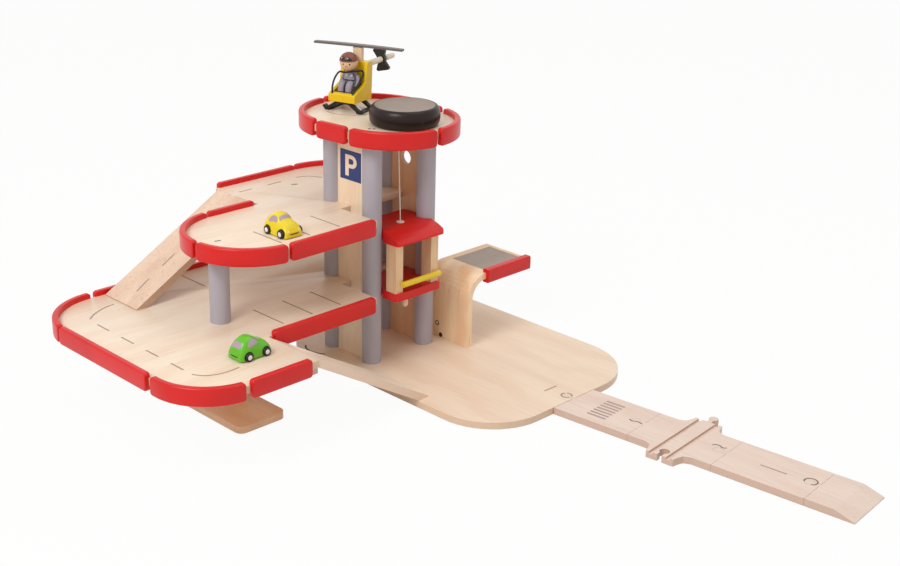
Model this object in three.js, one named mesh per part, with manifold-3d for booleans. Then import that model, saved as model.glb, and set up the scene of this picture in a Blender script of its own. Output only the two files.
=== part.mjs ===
import * as THREE from "three";
import { mergeVertices } from "three/addons/utils/BufferGeometryUtils.js";
import Module from "manifold-3d";

const wasm = await Module();
wasm.setup();

// Sizes in millimetres. Z is up, the floor is Z 0, the lift tower stands on the origin.
const PLATE = 10;
const PITCH = 114.5, TOP_PITCH = 119.5;
const DECK_T = 10;
const TOWER_X = 41.5;
const TOWER_Y = 53;
const PILLAR_R = 14;

// Play of a seat, of a running fit and of a loose joint, and one overrun for every cut
const FIT = 0.15, RUN = 0.08, LOOSE = 0.3, OVERRUN = 2;

const LEVEL_1 = PLATE + PITCH;
const LEVEL_2 = LEVEL_1 + PITCH;
const LEVEL_3 = LEVEL_2 + TOP_PITCH;

// Base plate
const BASE_X0 = -104, BASE_X1 = 324, BASE_Y0 = -97, BASE_Y1 = 232;
const BASE_CORNER = 88;
const BASE_ROAD_CORNER = 100, BASE_BACK_CORNER = 40;

// Red edge rails, a grooved board pushed on the deck edge
const RAIL_OUT = 6, RAIL_IN = 6, RAIL_H = 25;
const RAIL_ROUND = 2.4, RAIL_SOFT = 1.2;

// Panels between the pillars
const PANEL_T = 6, PANEL_SLOT = 5, PANEL_EASE = 0.6;
const PANEL_HOLE_X = 2, PANEL_HOLE_Z = 291, PANEL_HOLE_R = 10;

// Deck arcs and rail arcs share this angle step so that the groove follows the edge
const STEP_ANGLE = 7.5;

// Decks in plan; the round end of both decks is centred back from the lift shaft
const EDGE_X = 82;
const SHAFT_Y = -75, SHAFT_X = -5, TAB_X = 0;
const PANEL_GAP_Y = TOWER_Y + PANEL_T / 2 + PANEL_EASE;
const END_R = 102, END_REACH_SHARE = 0.853;
const END_CX = SHAFT_X - END_REACH_SHARE * END_R;
const SIDE_X = END_CX - END_R;
const LOBE_R = 88, LOBE_CX = EDGE_X - LOBE_R, LOBE_CY = -233;
const L1_EDGE_X = 184, L1_CORNER_R = 79, L1_CY = -385;
const L1_FRONT_CX = L1_EDGE_X - L1_CORNER_R, L1_LEFT_CX = SIDE_X + L1_CORNER_R;
const UPPER_PILLAR = { x: -4, y: -288 };

// Ramps
const RAMP_HEAD_2 = -150, RAMP_HEAD_1 = -274;
const LONG_RUN = 201, LOW_RUN = 196, RAMP_T = 9, RAMP_LIP = 2;
const LONG_RAMP_SIDE = 6.5, LONG_RAMP_LOBE = 16, LOW_RAMP_SIDE = 9;
const LONG_RAMP_X0 = SIDE_X + LONG_RAMP_SIDE, LONG_RAMP_X1 = LOBE_CX - LOBE_R - LONG_RAMP_LOBE;
const LOW_RAMP_X0 = EDGE_X + LOW_RAMP_SIDE, LOW_RAMP_X1 = L1_EDGE_X;

// Where the rails stop short of the deck corners
const RAIL_STOP = 1, RAIL_SETBACK = 7, LEFT_RAIL_FIRST = 9, LEFT_RAIL_LAST = 10;
const FRONT_RAIL_FIRST = 4, FRONT_RAIL_LAST = 14.5, SHAFT_RAIL_FIRST = 6, SHAFT_RAIL_LAST = 11.5;
const BACK_RAIL_FIRST = 19, BACK_BEND_LEAD = 161, INNER_RAIL_LAST = 13, CORNER_LEAD = 8.5;
const BACK_CURVE_ANGLE = 120, BACK_END_ANGLE = 3;
const LOBE_ENDS = { left: 8, middle: 3.5, front: 5 }, CORNER_ENDS = { middle: 1.5, front: 7 };

// Top deck, a hull of two circles
const TOP_CX_A = -30, TOP_R_A = 93, TOP_COUNT_A = 24;
const TOP_CX_B = 29.5, TOP_R_B = 87.5, TOP_COUNT_B = 22;

// Winch disc and its drum
const DISC_X = 47.5, DISC_Y = 3, DISC_R = 50, DISC_H = 27;
const DRUM_H = 13, DISC_GAP = 0.4, DISC_WALL = 12, DISC_FOOT = 7, AXLE_R = 5, AXLE_SOFT = 0.7;
const DISC_RIM_SHARES = [
  [0.956, 0.2], [1, 0.44], [0.988, 0.67], [0.94, 0.87], [0.88, 1], [0.82, 1], [0.44, 0.92], [0, 0.89],
];
const CORD_R = 0.75, CORD_RISE = 8, CORD_EASE = 1.6, DRUM_EASE = 0.3;
const CORD_X = 41.5, CORD_Y = 2.5, CORD_LEAN_X = -3.5, CORD_LEAN_Y = -3.5;
const CORD_TOP_X = CORD_X + CORD_LEAN_X, CORD_TOP_Y = CORD_Y + CORD_LEAN_Y;
const DRUM_R = Math.hypot(DISC_X - CORD_TOP_X, DISC_Y - CORD_TOP_Y) - CORD_R - DRUM_EASE;

// Lift car; the roof's side view is in shares of its length and thickness
const LIFT_X0 = -1, LIFT_X1 = 83, LIFT_Y0 = -43.5, LIFT_Y1 = 48.5, LIFT_CORNER = 8;
const LIFT_DROP = 2, LIFT_FLOOR_T = 12, LIFT_HEAD = 72.5, LIFT_ROOF_T = 17;
const LIFT_FLOOR_Z = LEVEL_1 - LIFT_DROP - LIFT_FLOOR_T;
const LIFT_FLOOR_TOP = LIFT_FLOOR_Z + LIFT_FLOOR_T, LIFT_ROOF_Z = LIFT_FLOOR_TOP + LIFT_HEAD;
const ROOF_OVER = 5, ROOF_SIDE = 0.7;
const ROOF_SHARES = [
  [0, 0], [0.977, 0], [1, 0.12], [0.993, 0.235], [0.931, 0.44], [0.827, 0.676], [0.688, 0.894],
  [0.538, 1], [0.023, 1], [0, 0.88],
];
const PEG_X = 62, PEG_Y = 0, PEG_R = 4.6, PEG_L = 12;
const PEG_SHARES = [[0, -1], [0.565, -0.94], [0.957, -0.783], [1, -0.25], [0.65, 0.083], [0, 0.083]];
const POST_X0 = 60, POST_X1 = 80, POST_Y0 = 28, POST_Y1 = 42;
const NOTCH_EASE = 1.6;
const GATE_R = 4.4, GATE_RISE = 13.5, GATE_Y0 = -33, GATE_Y1 = 41, GATE_PIVOT_Y = 35;
const GATE_PIN_R = 1.7, GATE_GAP = 0.5;
const GATE_X = POST_X1 + GATE_R + GATE_GAP, GATE_Z = LIFT_FLOOR_TOP + GATE_RISE;

// Fuel station canopy
const ST_X0 = 14, ST_X1 = 104, ST_Y0 = 83.5, ST_Y1 = 217, ST_TOP = 121, ST_T = 9;
const ST_BEND = 36, ST_HOLE_R = 3;
const ST_HOLES = [{ x: 40.5, z: 32 }, { x: 47, z: 15 }];
const MAT_INSET = 12, MAT_T = 2.5, MAT_Y0 = 128, MAT_Y1 = 210;
const FASCIA_Y0 = 120, FASCIA_Y1 = 213, FASCIA_H = 21;

// Road pieces lie along U from the base plate, turned by a few degrees
const ROAD_YAW = 5.3, ROAD_X = 324.4, ROAD_Y = 68, ROAD_HALF = 42;
const ZEBRA_L = 114, CROSSING_L = 124, STRAIGHT_L = 127, END_L = 66, END_SLOPE_L = 27;
const ROAD_J1 = ZEBRA_L, ROAD_J2 = ROAD_J1 + CROSSING_L, ROAD_J3 = ROAD_J2 + STRAIGHT_L;
const ROAD_END = ROAD_J3 + END_L, ROAD_SLOPE = ROAD_END - END_SLOPE_L;
const ROAD_TIP = 1.6, ROAD_GAP = 0.3;
const KNOB_R = 6.5, KNOB_NECK = 3, KNOB_U = 13, KNOB_ROOT = 3;
const TRACK_HALF_W = 20, TRACK_HALF_L = 63, TRACK_FLARE = 14, TRACK_EASE = 0.4;
const FLARE_SHARES = [[1, 0], [0.36, 0.19], [0.14, 0.57], [0, 1]];
const GROOVE_C = 12.5, GROOVE_W = 6, GROOVE_D = 3;

// Foot board of the lower deck
const FOOT_X0 = -46.5, FOOT_X1 = 86.5, FOOT_Y0 = -329, FOOT_Y1 = -250;
const FOOT_CORNER = 11;
const FOOT_POST = { x: 16, y: -283 };

// Toy cars; U runs forward from the middle of the wheelbase
const CAR_TAIL = 26, CAR_NOSE = 24, CAR_W = 36, CAR_TUCK = 2.5, CAR_H = 28, CAR_LOW = 1.8, CAR_BASE = 28;
const DOME_HALF = 19.5, BONNET_HALF = 16, BONNET_H = 20, CAR_WAIST = 7, PEBBLE = 2.6;
const WHEEL_R = 6, WHEEL_W = 6, WHEEL_SOFT = 1.4, WHEEL_BACK_SOFT = 0.8, AXLE_WIRE_R = 1.3;
const ARCH_EASE = 1, ARCH_GAP = 0.5;
const GREEN_CAR = { x: 113, y: -328, yaw: 90 };
const YELLOW_CAR = { x: 31, y: -205, yaw: 0 };

// Helicopter; the seat's side view is in shares of its half length and its height
const HELI = { x: -64.2, y: -0.1, yaw: 16 };
const COAT_R = 12, ARM_R = 3, PILOT_EASE = 2.25, SEAT_WALL = 5;
const SEAT_W = 2 * (COAT_R + ARM_R + PILOT_EASE + SEAT_WALL);
const SEAT_HALF_L = 23, SEAT_Z = 15, SEAT_H = 54, SEAT_FLOOR = 6, SEAT_TOP = SEAT_Z + SEAT_H;
const SEAT_SHARES = [
  [-1, 0], [1, 0], [1.13, 0.944], [1, 1], [0.63, 1], [0.522, 0.944], [0.348, 0.481], [0.174, 0.407],
  [-0.913, 0.213], [-1, 0.185],
];
const HOLLOW_SHARES = [[0.543, 0], [0.587, 1.04], [-1.87, 1.04], [-1.87, 0.556]];
const HOLLOW_LIP_SHARE = 0.315;
const MAST_HALF = 7.4, MAST_T = 6.8, MAST_INSET = 1.4, MAST_SUNK = 6, MAST_RISE = 22.4, MAST_X = 2.2;
const MAST_EASE = 0.2, PIVOT_L = 5.2, PIVOT_SUNK = 1;
const ROTOR_HALF = 70, ROTOR_W = 10, ROTOR_DROOP = 3, ROTOR_T = 2.2, ROTOR_YAW = 9, ROTOR_GAP = 0.9;
const ROTOR_TAPER_SHARE = 0.25, ROTOR_PIN_R = 1.6, HUB_R = 4.2, HUB_H = 3.4, HUB_DROP = 0.6;
const BOOM_R = 4.4, BOOM_L = 62, BOOM_DROP = 11, BOOM_SEAT = 0.6, BOOM_PIN_R = 1.8;
const TAIL_T = 5, TAIL_GAP = 0.5;
const BOOM_TIP_L = 5, BOOM_TIP_SOFT = 1, TAIL_PLAY = 0.6;
const BOW_L = 17, BOW_W = 11, BOW_TURN = -103;
const BOW_SHARES = [[-1, -0.79], [-0.857, -1], [-0.286, -0.58], [0.286, -0.58], [0.857, -1], [1, -0.79]];
const SKID_SPREAD = 25, SKID_T = 3.6, SKID_LEG_W = 8, SKID_AT = 16, SKID_HIP = 7.25;
const SKID_SHARES = [
  [-1, 1], [0, 0], [1.4, 0], [2.8, 1.5], [2.1, 2], [1, 1.2],
];
const RUNNER_SHARE = 1.9, RUNNER_OUT_SHARE = 0.5;

// Pilot, who fits between the seat's cheeks; outlines are in shares of the sizes that they name
const SIT_GAP = 0.2, COAT_H = 37.5, COAT_Y = 3.2, COAT_DEPTH_SHARE = 0.7;
const HEAD_R = 13.6, HEAD_Y = -2.6, HEAD_Z = 49, ARM_L = 13, ARM_Z = 21, ARM_Y = 1, ARM_ANGLE = 20;
const COAT_SHARES = [
  [0, 0], [0.917, 0], [1, 0.08], [1, 0.533], [0.875, 0.773], [0.617, 0.907], [0.333, 0.987], [0, 1],
];
const LEG_REACH = 17, LEG_H = 25, LEG_INNER_SHARE = 0.09, LEG_OUTER_SHARE = 0.91;
const LEG_SHARES = [
  [-1, 0], [0, 0], [0, 0.6], [-0.235, 0.88], [-0.441, 0.98], [-0.706, 1], [-0.912, 0.9], [-1, 0.72],
];

// Safety hoop below the chin, in shares of the seat's half width and half length and its own height
const HOOP_R = 1.4, HOOP_H = SEAT_FLOOR + SIT_GAP + HEAD_Z - HEAD_R + HOOP_R;
const HOOP_SHARES = [
  [-0.753, -0.904, 0.209], [-0.775, -0.87, 0.465], [-0.73, -0.652, 0.744], [-0.506, -0.435, 0.953],
  [-0.09, -0.5, 0.958], [0.551, -0.174, 1], [0.753, 0.37, 0.953], [0.793, 0.261, 0.791],
  [0.802, -0.217, 0.581], [0.784, -0.739, 0.395], [0.753, -0.896, 0.209],
];

const D2R = Math.PI / 180;
const group = new THREE.Group();

function material(color, roughness) {
  return new THREE.MeshStandardMaterial({ color, roughness });
}

function add(name, geometry, color, roughness = 0.6) {
  const mesh = new THREE.Mesh(geometry, material(color, roughness));
  mesh.name = name;
  group.add(mesh);
  return mesh;
}

const PINE = 0xe6cda6, RED = 0xc4221f, GREY = 0x8f8a96, DARK = 0x2a2523, TAN = 0x9a6a45;

function toSolid(geometry) {
  const bare = geometry.clone();
  bare.deleteAttribute("normal");
  bare.deleteAttribute("uv");
  const merged = mergeVertices(bare, 1e-4);
  return new wasm.Manifold(new wasm.Mesh({
    numProp: 3,
    vertProperties: new Float32Array(merged.attributes.position.array),
    triVerts: new Uint32Array(merged.index.array),
  }));
}

function toGeometry(solid) {
  const mesh = solid.getMesh();
  const geometry = new THREE.BufferGeometry();
  const stride = mesh.numProp;
  const count = mesh.vertProperties.length / stride;
  const flat = new Float32Array(count * 3);
  for (let i = 0; i < count; i++) {
    for (let k = 0; k < 3; k++) flat[i * 3 + k] = mesh.vertProperties[i * stride + k];
  }
  geometry.setAttribute("position", new THREE.BufferAttribute(flat, 3));
  geometry.setIndex(new THREE.BufferAttribute(new Uint32Array(mesh.triVerts), 1));
  const out = geometry.toNonIndexed();
  out.computeVertexNormals();
  return out;
}

function arc(cx, cy, r, a0, a1, n) {
  const pts = [];
  for (let i = 0; i <= n; i++) {
    const a = (a0 + ((a1 - a0) * i) / n) * D2R;
    pts.push([cx + r * Math.cos(a), cy + r * Math.sin(a)]);
  }
  return pts;
}

function plate(outline, z0, t, holes = []) {
  const shape = new THREE.Shape(outline.map(([x, y]) => new THREE.Vector2(x, y)));
  for (const hole of holes) {
    shape.holes.push(new THREE.Path(hole.map(([x, y]) => new THREE.Vector2(x, y))));
  }
  return new THREE.ExtrudeGeometry(shape, { depth: t, bevelEnabled: false }).translate(0, 0, z0);
}

function circleHole(x, y, r, n = 24) {
  return arc(x, y, r, 0, -360 + 360 / n, n - 1);
}

function disc(x, y, z0, r, h, n = 28) {
  return new THREE.CylinderGeometry(r, r, h, n).rotateX(Math.PI / 2).translate(x, y, z0 + h / 2);
}

function box(x0, x1, y0, y1, z0, z1) {
  return new THREE.BoxGeometry(x1 - x0, y1 - y0, z1 - z0)
    .translate((x0 + x1) / 2, (y0 + y1) / 2, (z0 + z1) / 2);
}

function roundRect(x0, x1, y0, y1, r, n = 5) {
  return [
    ...arc(x1 - r, y0 + r, r, -90, 0, n), ...arc(x1 - r, y1 - r, r, 0, 90, n),
    ...arc(x0 + r, y1 - r, r, 90, 180, n), ...arc(x0 + r, y0 + r, r, 180, 270, n),
  ];
}

function planArea(points) {
  let sum = 0;
  points.forEach(([x, y], i) => {
    const [x2, y2] = points[(i + 1) % points.length];
    sum += x * y2 - x2 * y;
  });
  return sum / 2;
}

// Profile points are [outward, up]; stations are {x, y, nx, ny} with n the outward side
function sweep(points, stations) {
  const profile = planArea(points) < 0 ? [...points].reverse() : points;
  const m = profile.length;
  const pos = [];
  for (const s of stations) {
    for (const [o, z] of profile) pos.push(s.x + s.nx * o, s.y + s.ny * o, z);
  }
  const idx = [];
  const tri = (a, b, c) => idx.push(a, b, c);
  for (let i = 0; i + 1 < stations.length; i++) {
    for (let j = 0; j < m; j++) {
      const k = (j + 1) % m;
      tri(i * m + j, i * m + k, (i + 1) * m + k);
      tri(i * m + j, (i + 1) * m + k, (i + 1) * m + j);
    }
  }
  const flat = profile.map(([o, z]) => new THREE.Vector2(o, z));
  const last = (stations.length - 1) * m;
  for (const [a, b, c] of THREE.ShapeUtils.triangulateShape(flat, [])) {
    tri(a, c, b);
    tri(last + a, last + b, last + c);
  }
  const geometry = new THREE.BufferGeometry();
  geometry.setAttribute("position", new THREE.Float32BufferAttribute(pos, 3));
  geometry.setIndex(idx);
  const volume = signedVolume(geometry);
  if (volume < 0) {
    const flipped = [];
    for (let i = 0; i < idx.length; i += 3) flipped.push(idx[i], idx[i + 2], idx[i + 1]);
    geometry.setIndex(flipped);
  }
  const out = geometry.toNonIndexed();
  out.computeVertexNormals();
  return out;
}

function signedVolume(geometry) {
  const p = geometry.attributes.position, ix = geometry.index;
  const a = new THREE.Vector3(), b = new THREE.Vector3(), c = new THREE.Vector3();
  let v = 0;
  for (let i = 0; i < ix.count; i += 3) {
    a.fromBufferAttribute(p, ix.getX(i));
    b.fromBufferAttribute(p, ix.getX(i + 1));
    c.fromBufferAttribute(p, ix.getX(i + 2));
    v += a.dot(b.cross(c));
  }
  return v;
}

// A rail's section, with a groove for a board of the given thickness
function railProfile(zMid, height, board = DECK_T) {
  const h = height / 2, g = board / 2 + FIT;
  return [
    [-RAIL_IN, zMid + g], [FIT, zMid + g], [FIT, zMid - g], [-RAIL_IN, zMid - g],
    ...arc(-RAIL_IN + RAIL_SOFT, zMid - h + RAIL_SOFT, RAIL_SOFT, 180, 270, 1),
    ...arc(RAIL_OUT - RAIL_ROUND, zMid - h + RAIL_ROUND, RAIL_ROUND, 270, 360, 2),
    ...arc(RAIL_OUT - RAIL_ROUND, zMid + h - RAIL_ROUND, RAIL_ROUND, 0, 90, 2),
    ...arc(-RAIL_IN + RAIL_SOFT, zMid + h - RAIL_SOFT, RAIL_SOFT, 90, 180, 1),
  ];
}

function lineStations(x0, y0, x1, y1, nx, ny) {
  return [{ x: x0, y: y0, nx, ny }, { x: x1, y: y1, nx, ny }];
}

// Stations on the facets of an arc; k0 and k1 count its steps and may fall between two
function arcStations(cx, cy, r, first, step, k0, k1) {
  const corner = (k) => {
    const a = (first + step * k) * D2R;
    return { x: cx + r * Math.cos(a), y: cy + r * Math.sin(a), nx: Math.cos(a), ny: Math.sin(a) };
  };
  const at = (k) => {
    const i = Math.floor(k), f = k - i;
    if (f < 1e-6) return corner(i);
    const a = corner(i), b = corner(i + 1), out = {};
    for (const key of ["x", "y", "nx", "ny"]) out[key] = a[key] + (b[key] - a[key]) * f;
    return out;
  };
  const stops = [k0];
  for (let k = Math.floor(k0) + 1; k < k1 - 1e-6; k++) stops.push(k);
  stops.push(k1);
  return stops.map(at);
}

function steps(a0, a1) {
  return Math.max(1, Math.round(Math.abs(a1 - a0) / STEP_ANGLE));
}

function straightRail(name, zTop, x0, y0, x1, y1, nx, ny) {
  add(name, sweep(railProfile(zTop - DECK_T / 2, RAIL_H), lineStations(x0, y0, x1, y1, nx, ny)), RED, 0.4);
}

function curvedRail(name, zTop, cx, cy, r, a0, a1) {
  const stations = arcStations(cx, cy, r, 0, STEP_ANGLE, a0 / STEP_ANGLE, a1 / STEP_ANGLE);
  add(name, sweep(railProfile(zTop - DECK_T / 2, RAIL_H), stations), RED, 0.4);
}

// A curved rail that starts with a straight length
function ledRail(name, zTop, lead, cx, cy, r, a0, a1) {
  const bend = arcStations(cx, cy, r, 0, STEP_ANGLE, a0 / STEP_ANGLE, a1 / STEP_ANGLE);
  add(name, sweep(railProfile(zTop - DECK_T / 2, RAIL_H), [lead, ...bend]), RED, 0.4);
}

function buildBase() {
  const outline = [
    ...arc(BASE_X1 - BASE_CORNER, BASE_Y0 + BASE_CORNER, BASE_CORNER, -90, 0, 12),
    ...arc(BASE_X1 - BASE_ROAD_CORNER, BASE_Y1 - BASE_ROAD_CORNER, BASE_ROAD_CORNER, 0, 90, 12),
    ...arc(BASE_X0 + BASE_BACK_CORNER, BASE_Y1 - BASE_BACK_CORNER, BASE_BACK_CORNER, 90, 180, 6),
    ...arc(BASE_X0 + BASE_BACK_CORNER, BASE_Y0 + BASE_BACK_CORNER, BASE_BACK_CORNER, 180, 270, 6),
  ];
  const cut = knobTool(0, PLATE + OVERRUN, ROAD_GAP).translate(0, 0, -OVERRUN / 2);
  add("base_plate", toGeometry(toSolid(plate(outline, 0, PLATE)).subtract(toSolid(cut))), PINE);
}

function placeRoad(geometry) {
  return geometry.rotateZ(ROAD_YAW * D2R).translate(ROAD_X, ROAD_Y, 0);
}

function knobOutline(u, grow) {
  const r = KNOB_R + grow, half = KNOB_NECK + grow;
  const a = Math.asin(half / r) / D2R;
  return [[u + KNOB_ROOT, -half], [u + KNOB_ROOT, half], ...arc(u - KNOB_U, 0, r, a, 360 - a, 16)];
}

function knobTool(u, height, grow) {
  const outline = knobOutline(u, grow).reverse();
  return placeRoad(plate(outline, 0, height));
}

function knobAt(u, height, grow) {
  return plate(knobOutline(u, grow).reverse(), 0, height);
}

// The first piece starts flush with the base plate edge, so its end is cut on the slant
function roadBody(u0, u1, first) {
  const slant = first ? ROAD_HALF * Math.tan(ROAD_YAW * D2R) : 0;
  const start = u0 + ROAD_GAP;
  return plate([
    [start - slant, -ROAD_HALF], [u1, -ROAD_HALF], [u1, ROAD_HALF], [start + slant, ROAD_HALF],
  ], 0, PLATE);
}

function jointed(body, u0, u1) {
  let solid = toSolid(body).add(toSolid(knobAt(u0, PLATE, 0)));
  if (u1 === null) return solid;
  const socket = knobAt(u1, PLATE + OVERRUN, ROAD_GAP).translate(0, 0, -OVERRUN / 2);
  return solid.subtract(toSolid(socket));
}

function crossingOutline() {
  const c = (ROAD_J1 + ROAD_J2) / 2, edge = c + TRACK_HALF_W, out = TRACK_HALF_L - ROAD_HALF;
  const side = (s) => {
    const flare = FLARE_SHARES.map(([a, b]) => [edge + a * TRACK_FLARE, s * (ROAD_HALF + b * out)]);
    const pts = [[ROAD_J2, s * ROAD_HALF], ...flare];
    const back = pts.map(([u, v]) => [2 * c - u, v]).reverse();
    return [...pts, ...back];
  };
  const front = side(-1).reverse(), back = side(1);
  front[0] = [ROAD_J1 + ROAD_GAP, -ROAD_HALF];
  back[back.length - 1] = [ROAD_J1 + ROAD_GAP, ROAD_HALF];
  return [...front, ...back];
}

// A knob like those of wooden railway track, for one end of the track part
function trackKnob(height, grow) {
  const turn = new THREE.Matrix4().makeRotationZ(Math.PI / 2);
  return knobAt(0, height, grow).applyMatrix4(turn).rotateZ(Math.PI);
}

function buildCrossing() {
  const c = (ROAD_J1 + ROAD_J2) / 2, l = TRACK_HALF_L, over = OVERRUN / 2;
  let solid = jointed(plate(crossingOutline(), 0, PLATE), ROAD_J1, ROAD_J2);
  for (const s of [-1, 1]) {
    const u0 = c + s * GROOVE_C - GROOVE_W / 2;
    const groove = box(u0, u0 + GROOVE_W, -l - over, l + over, PLATE - GROOVE_D, PLATE + over);
    solid = solid.subtract(toSolid(groove));
  }
  const peg = trackKnob(PLATE, 0).translate(c, l, 0);
  const socket = trackKnob(PLATE + OVERRUN, TRACK_EASE).translate(c, -l, -over);
  solid = solid.add(toSolid(peg)).subtract(toSolid(socket));
  add("road_rail_crossing", placeRoad(toGeometry(solid)), PINE);
}

function buildRoads() {
  const zebra = jointed(roadBody(0, ROAD_J1, true), 0, ROAD_J1);
  add("road_zebra", placeRoad(toGeometry(zebra)), PINE);
  buildCrossing();
  add("road_straight", placeRoad(toGeometry(jointed(roadBody(ROAD_J2, ROAD_J3), ROAD_J2, ROAD_J3))), PINE);
  const wedge = [
    [ROAD_J3 + ROAD_GAP, 0], [ROAD_END, 0], [ROAD_END, ROAD_TIP], [ROAD_SLOPE, PLATE],
    [ROAD_J3 + ROAD_GAP, PLATE],
  ];
  const body = sweep(wedge, lineStations(0, -ROAD_HALF, 0, ROAD_HALF, 1, 0));
  add("road_end_ramp", placeRoad(toGeometry(jointed(body, ROAD_J3, null))), PINE);
}

function pillarShape(slotDir) {
  const half = PANEL_T / 2 + FIT, r = PILLAR_R;
  const a = Math.asin(half / r) / D2R;
  const pts = arc(0, 0, r, a, 360 - a, 26);
  pts.push([r - PANEL_SLOT, -half], [r - PANEL_SLOT, half]);
  return pts.map(([x, y]) => (slotDir > 0 ? [x, y] : [-x, -y]));
}

function buildPillars() {
  const h = LEVEL_3 - DECK_T - PLATE;
  const place = (name, x, y, dir) => add(name, plate(pillarShape(dir), PLATE, h).translate(x, y, 0), GREY);
  place("pillar_left", -TOWER_X, -TOWER_Y, 1);
  place("pillar_front", TOWER_X, -TOWER_Y, -1);
  place("pillar_right", TOWER_X, TOWER_Y, -1);
  place("pillar_rear", -TOWER_X, TOWER_Y, 1);
}

function buildPanels() {
  const half = TOWER_X - PILLAR_R + PANEL_SLOT - FIT, t = PANEL_T / 2;
  const h = LEVEL_3 - DECK_T - PLATE;
  add("sign_panel", box(-half, half, -TOWER_Y - t, -TOWER_Y + t, PLATE, PLATE + h), PINE);
  const shape = [[-half, PLATE], [half, PLATE], [half, PLATE + h], [-half, PLATE + h]];
  const back = plate(shape, -t, PANEL_T, [circleHole(PANEL_HOLE_X, PANEL_HOLE_Z, PANEL_HOLE_R, 28)]);
  add("back_panel", back.rotateX(Math.PI / 2).translate(0, TOWER_Y, 0), PINE);
}

function pillarHoles() {
  const r = PILLAR_R + LOOSE;
  return [circleHole(-TOWER_X, -TOWER_Y, r), circleHole(-TOWER_X, TOWER_Y, r)];
}

// The end of both decks goes round the rear pillars and into the lift shaft
function towerEnd() {
  const angle = Math.acos((SHAFT_X - END_CX) / END_R) / D2R;
  const first = Math.ceil(angle / STEP_ANGLE) * STEP_ANGLE;
  return [
    [EDGE_X, SHAFT_Y], [TAB_X, SHAFT_Y], [TAB_X, -PANEL_GAP_Y], [SHAFT_X, -PANEL_GAP_Y],
    [SHAFT_X, END_R * Math.sin(angle * D2R)],
    ...arc(END_CX, 0, END_R, first, 180, Math.round((180 - first) / STEP_ANGLE)),
  ];
}

function slotForPanel(y) {
  const half = TOWER_X - PILLAR_R + PANEL_SLOT + FIT, t = PANEL_T / 2 + LOOSE;
  return box(-half, half, y - t, y + t, 0, LEVEL_3);
}

function deckSolid(outline, zTop) {
  const slab = toSolid(plate(outline, zTop - DECK_T, DECK_T, pillarHoles()));
  return slab.subtract(toSolid(slotForPanel(-TOWER_Y))).subtract(toSolid(slotForPanel(TOWER_Y)));
}

function buildUpperDeck() {
  const lobe = steps(180, 360);
  const outline = [
    ...towerEnd(), [SIDE_X, RAMP_HEAD_2], [LOBE_CX - LOBE_R, RAMP_HEAD_2],
    ...arc(LOBE_CX, LOBE_CY, LOBE_R, 180, 360, lobe),
  ];
  add("upper_deck", toGeometry(deckSolid(outline, LEVEL_2)), PINE);
  const low = LEVEL_1, high = LEVEL_2 - DECK_T;
  add("upper_pillar", disc(UPPER_PILLAR.x, UPPER_PILLAR.y, low, PILLAR_R, high - low), GREY);
}

function buildUpperRails() {
  const z = LEVEL_2;
  const left = LOBE_CX - LOBE_R;
  straightRail("upper_rail_back", z, SIDE_X, RAMP_HEAD_2 + RAIL_SETBACK, SIDE_X, -RAIL_STOP, -1, 0);
  curvedRail("upper_rail_back_curve", z, END_CX, 0, END_R, BACK_CURVE_ANGLE, 180 - BACK_END_ANGLE);
  straightRail(
    "upper_rail_inner", z, left, LOBE_CY + RAIL_STOP, left, RAMP_HEAD_2 - INNER_RAIL_LAST, -1, 0,
  );
  const ends = LOBE_ENDS;
  curvedRail("upper_rail_left_curve", z, LOBE_CX, LOBE_CY, LOBE_R, 180 + ends.left, 270 - ends.middle);
  curvedRail("upper_rail_front_curve", z, LOBE_CX, LOBE_CY, LOBE_R, 270, 360 - ends.front);
  straightRail("upper_rail_front", z, EDGE_X, LOBE_CY - RAIL_STOP, EDGE_X, SHAFT_Y - SHAFT_RAIL_LAST, 1, 0);
}

function buildLowerDeck() {
  const q = steps(0, 90);
  const outline = [
    ...towerEnd(),
    ...arc(L1_LEFT_CX, L1_CY, L1_CORNER_R, 180, 270, q),
    ...arc(L1_FRONT_CX, L1_CY, L1_CORNER_R, 270, 360, q),
    [L1_EDGE_X, RAMP_HEAD_1], [EDGE_X, RAMP_HEAD_1],
  ];
  add("lower_deck", toGeometry(deckSolid(outline, LEVEL_1)), PINE);
}

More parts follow.
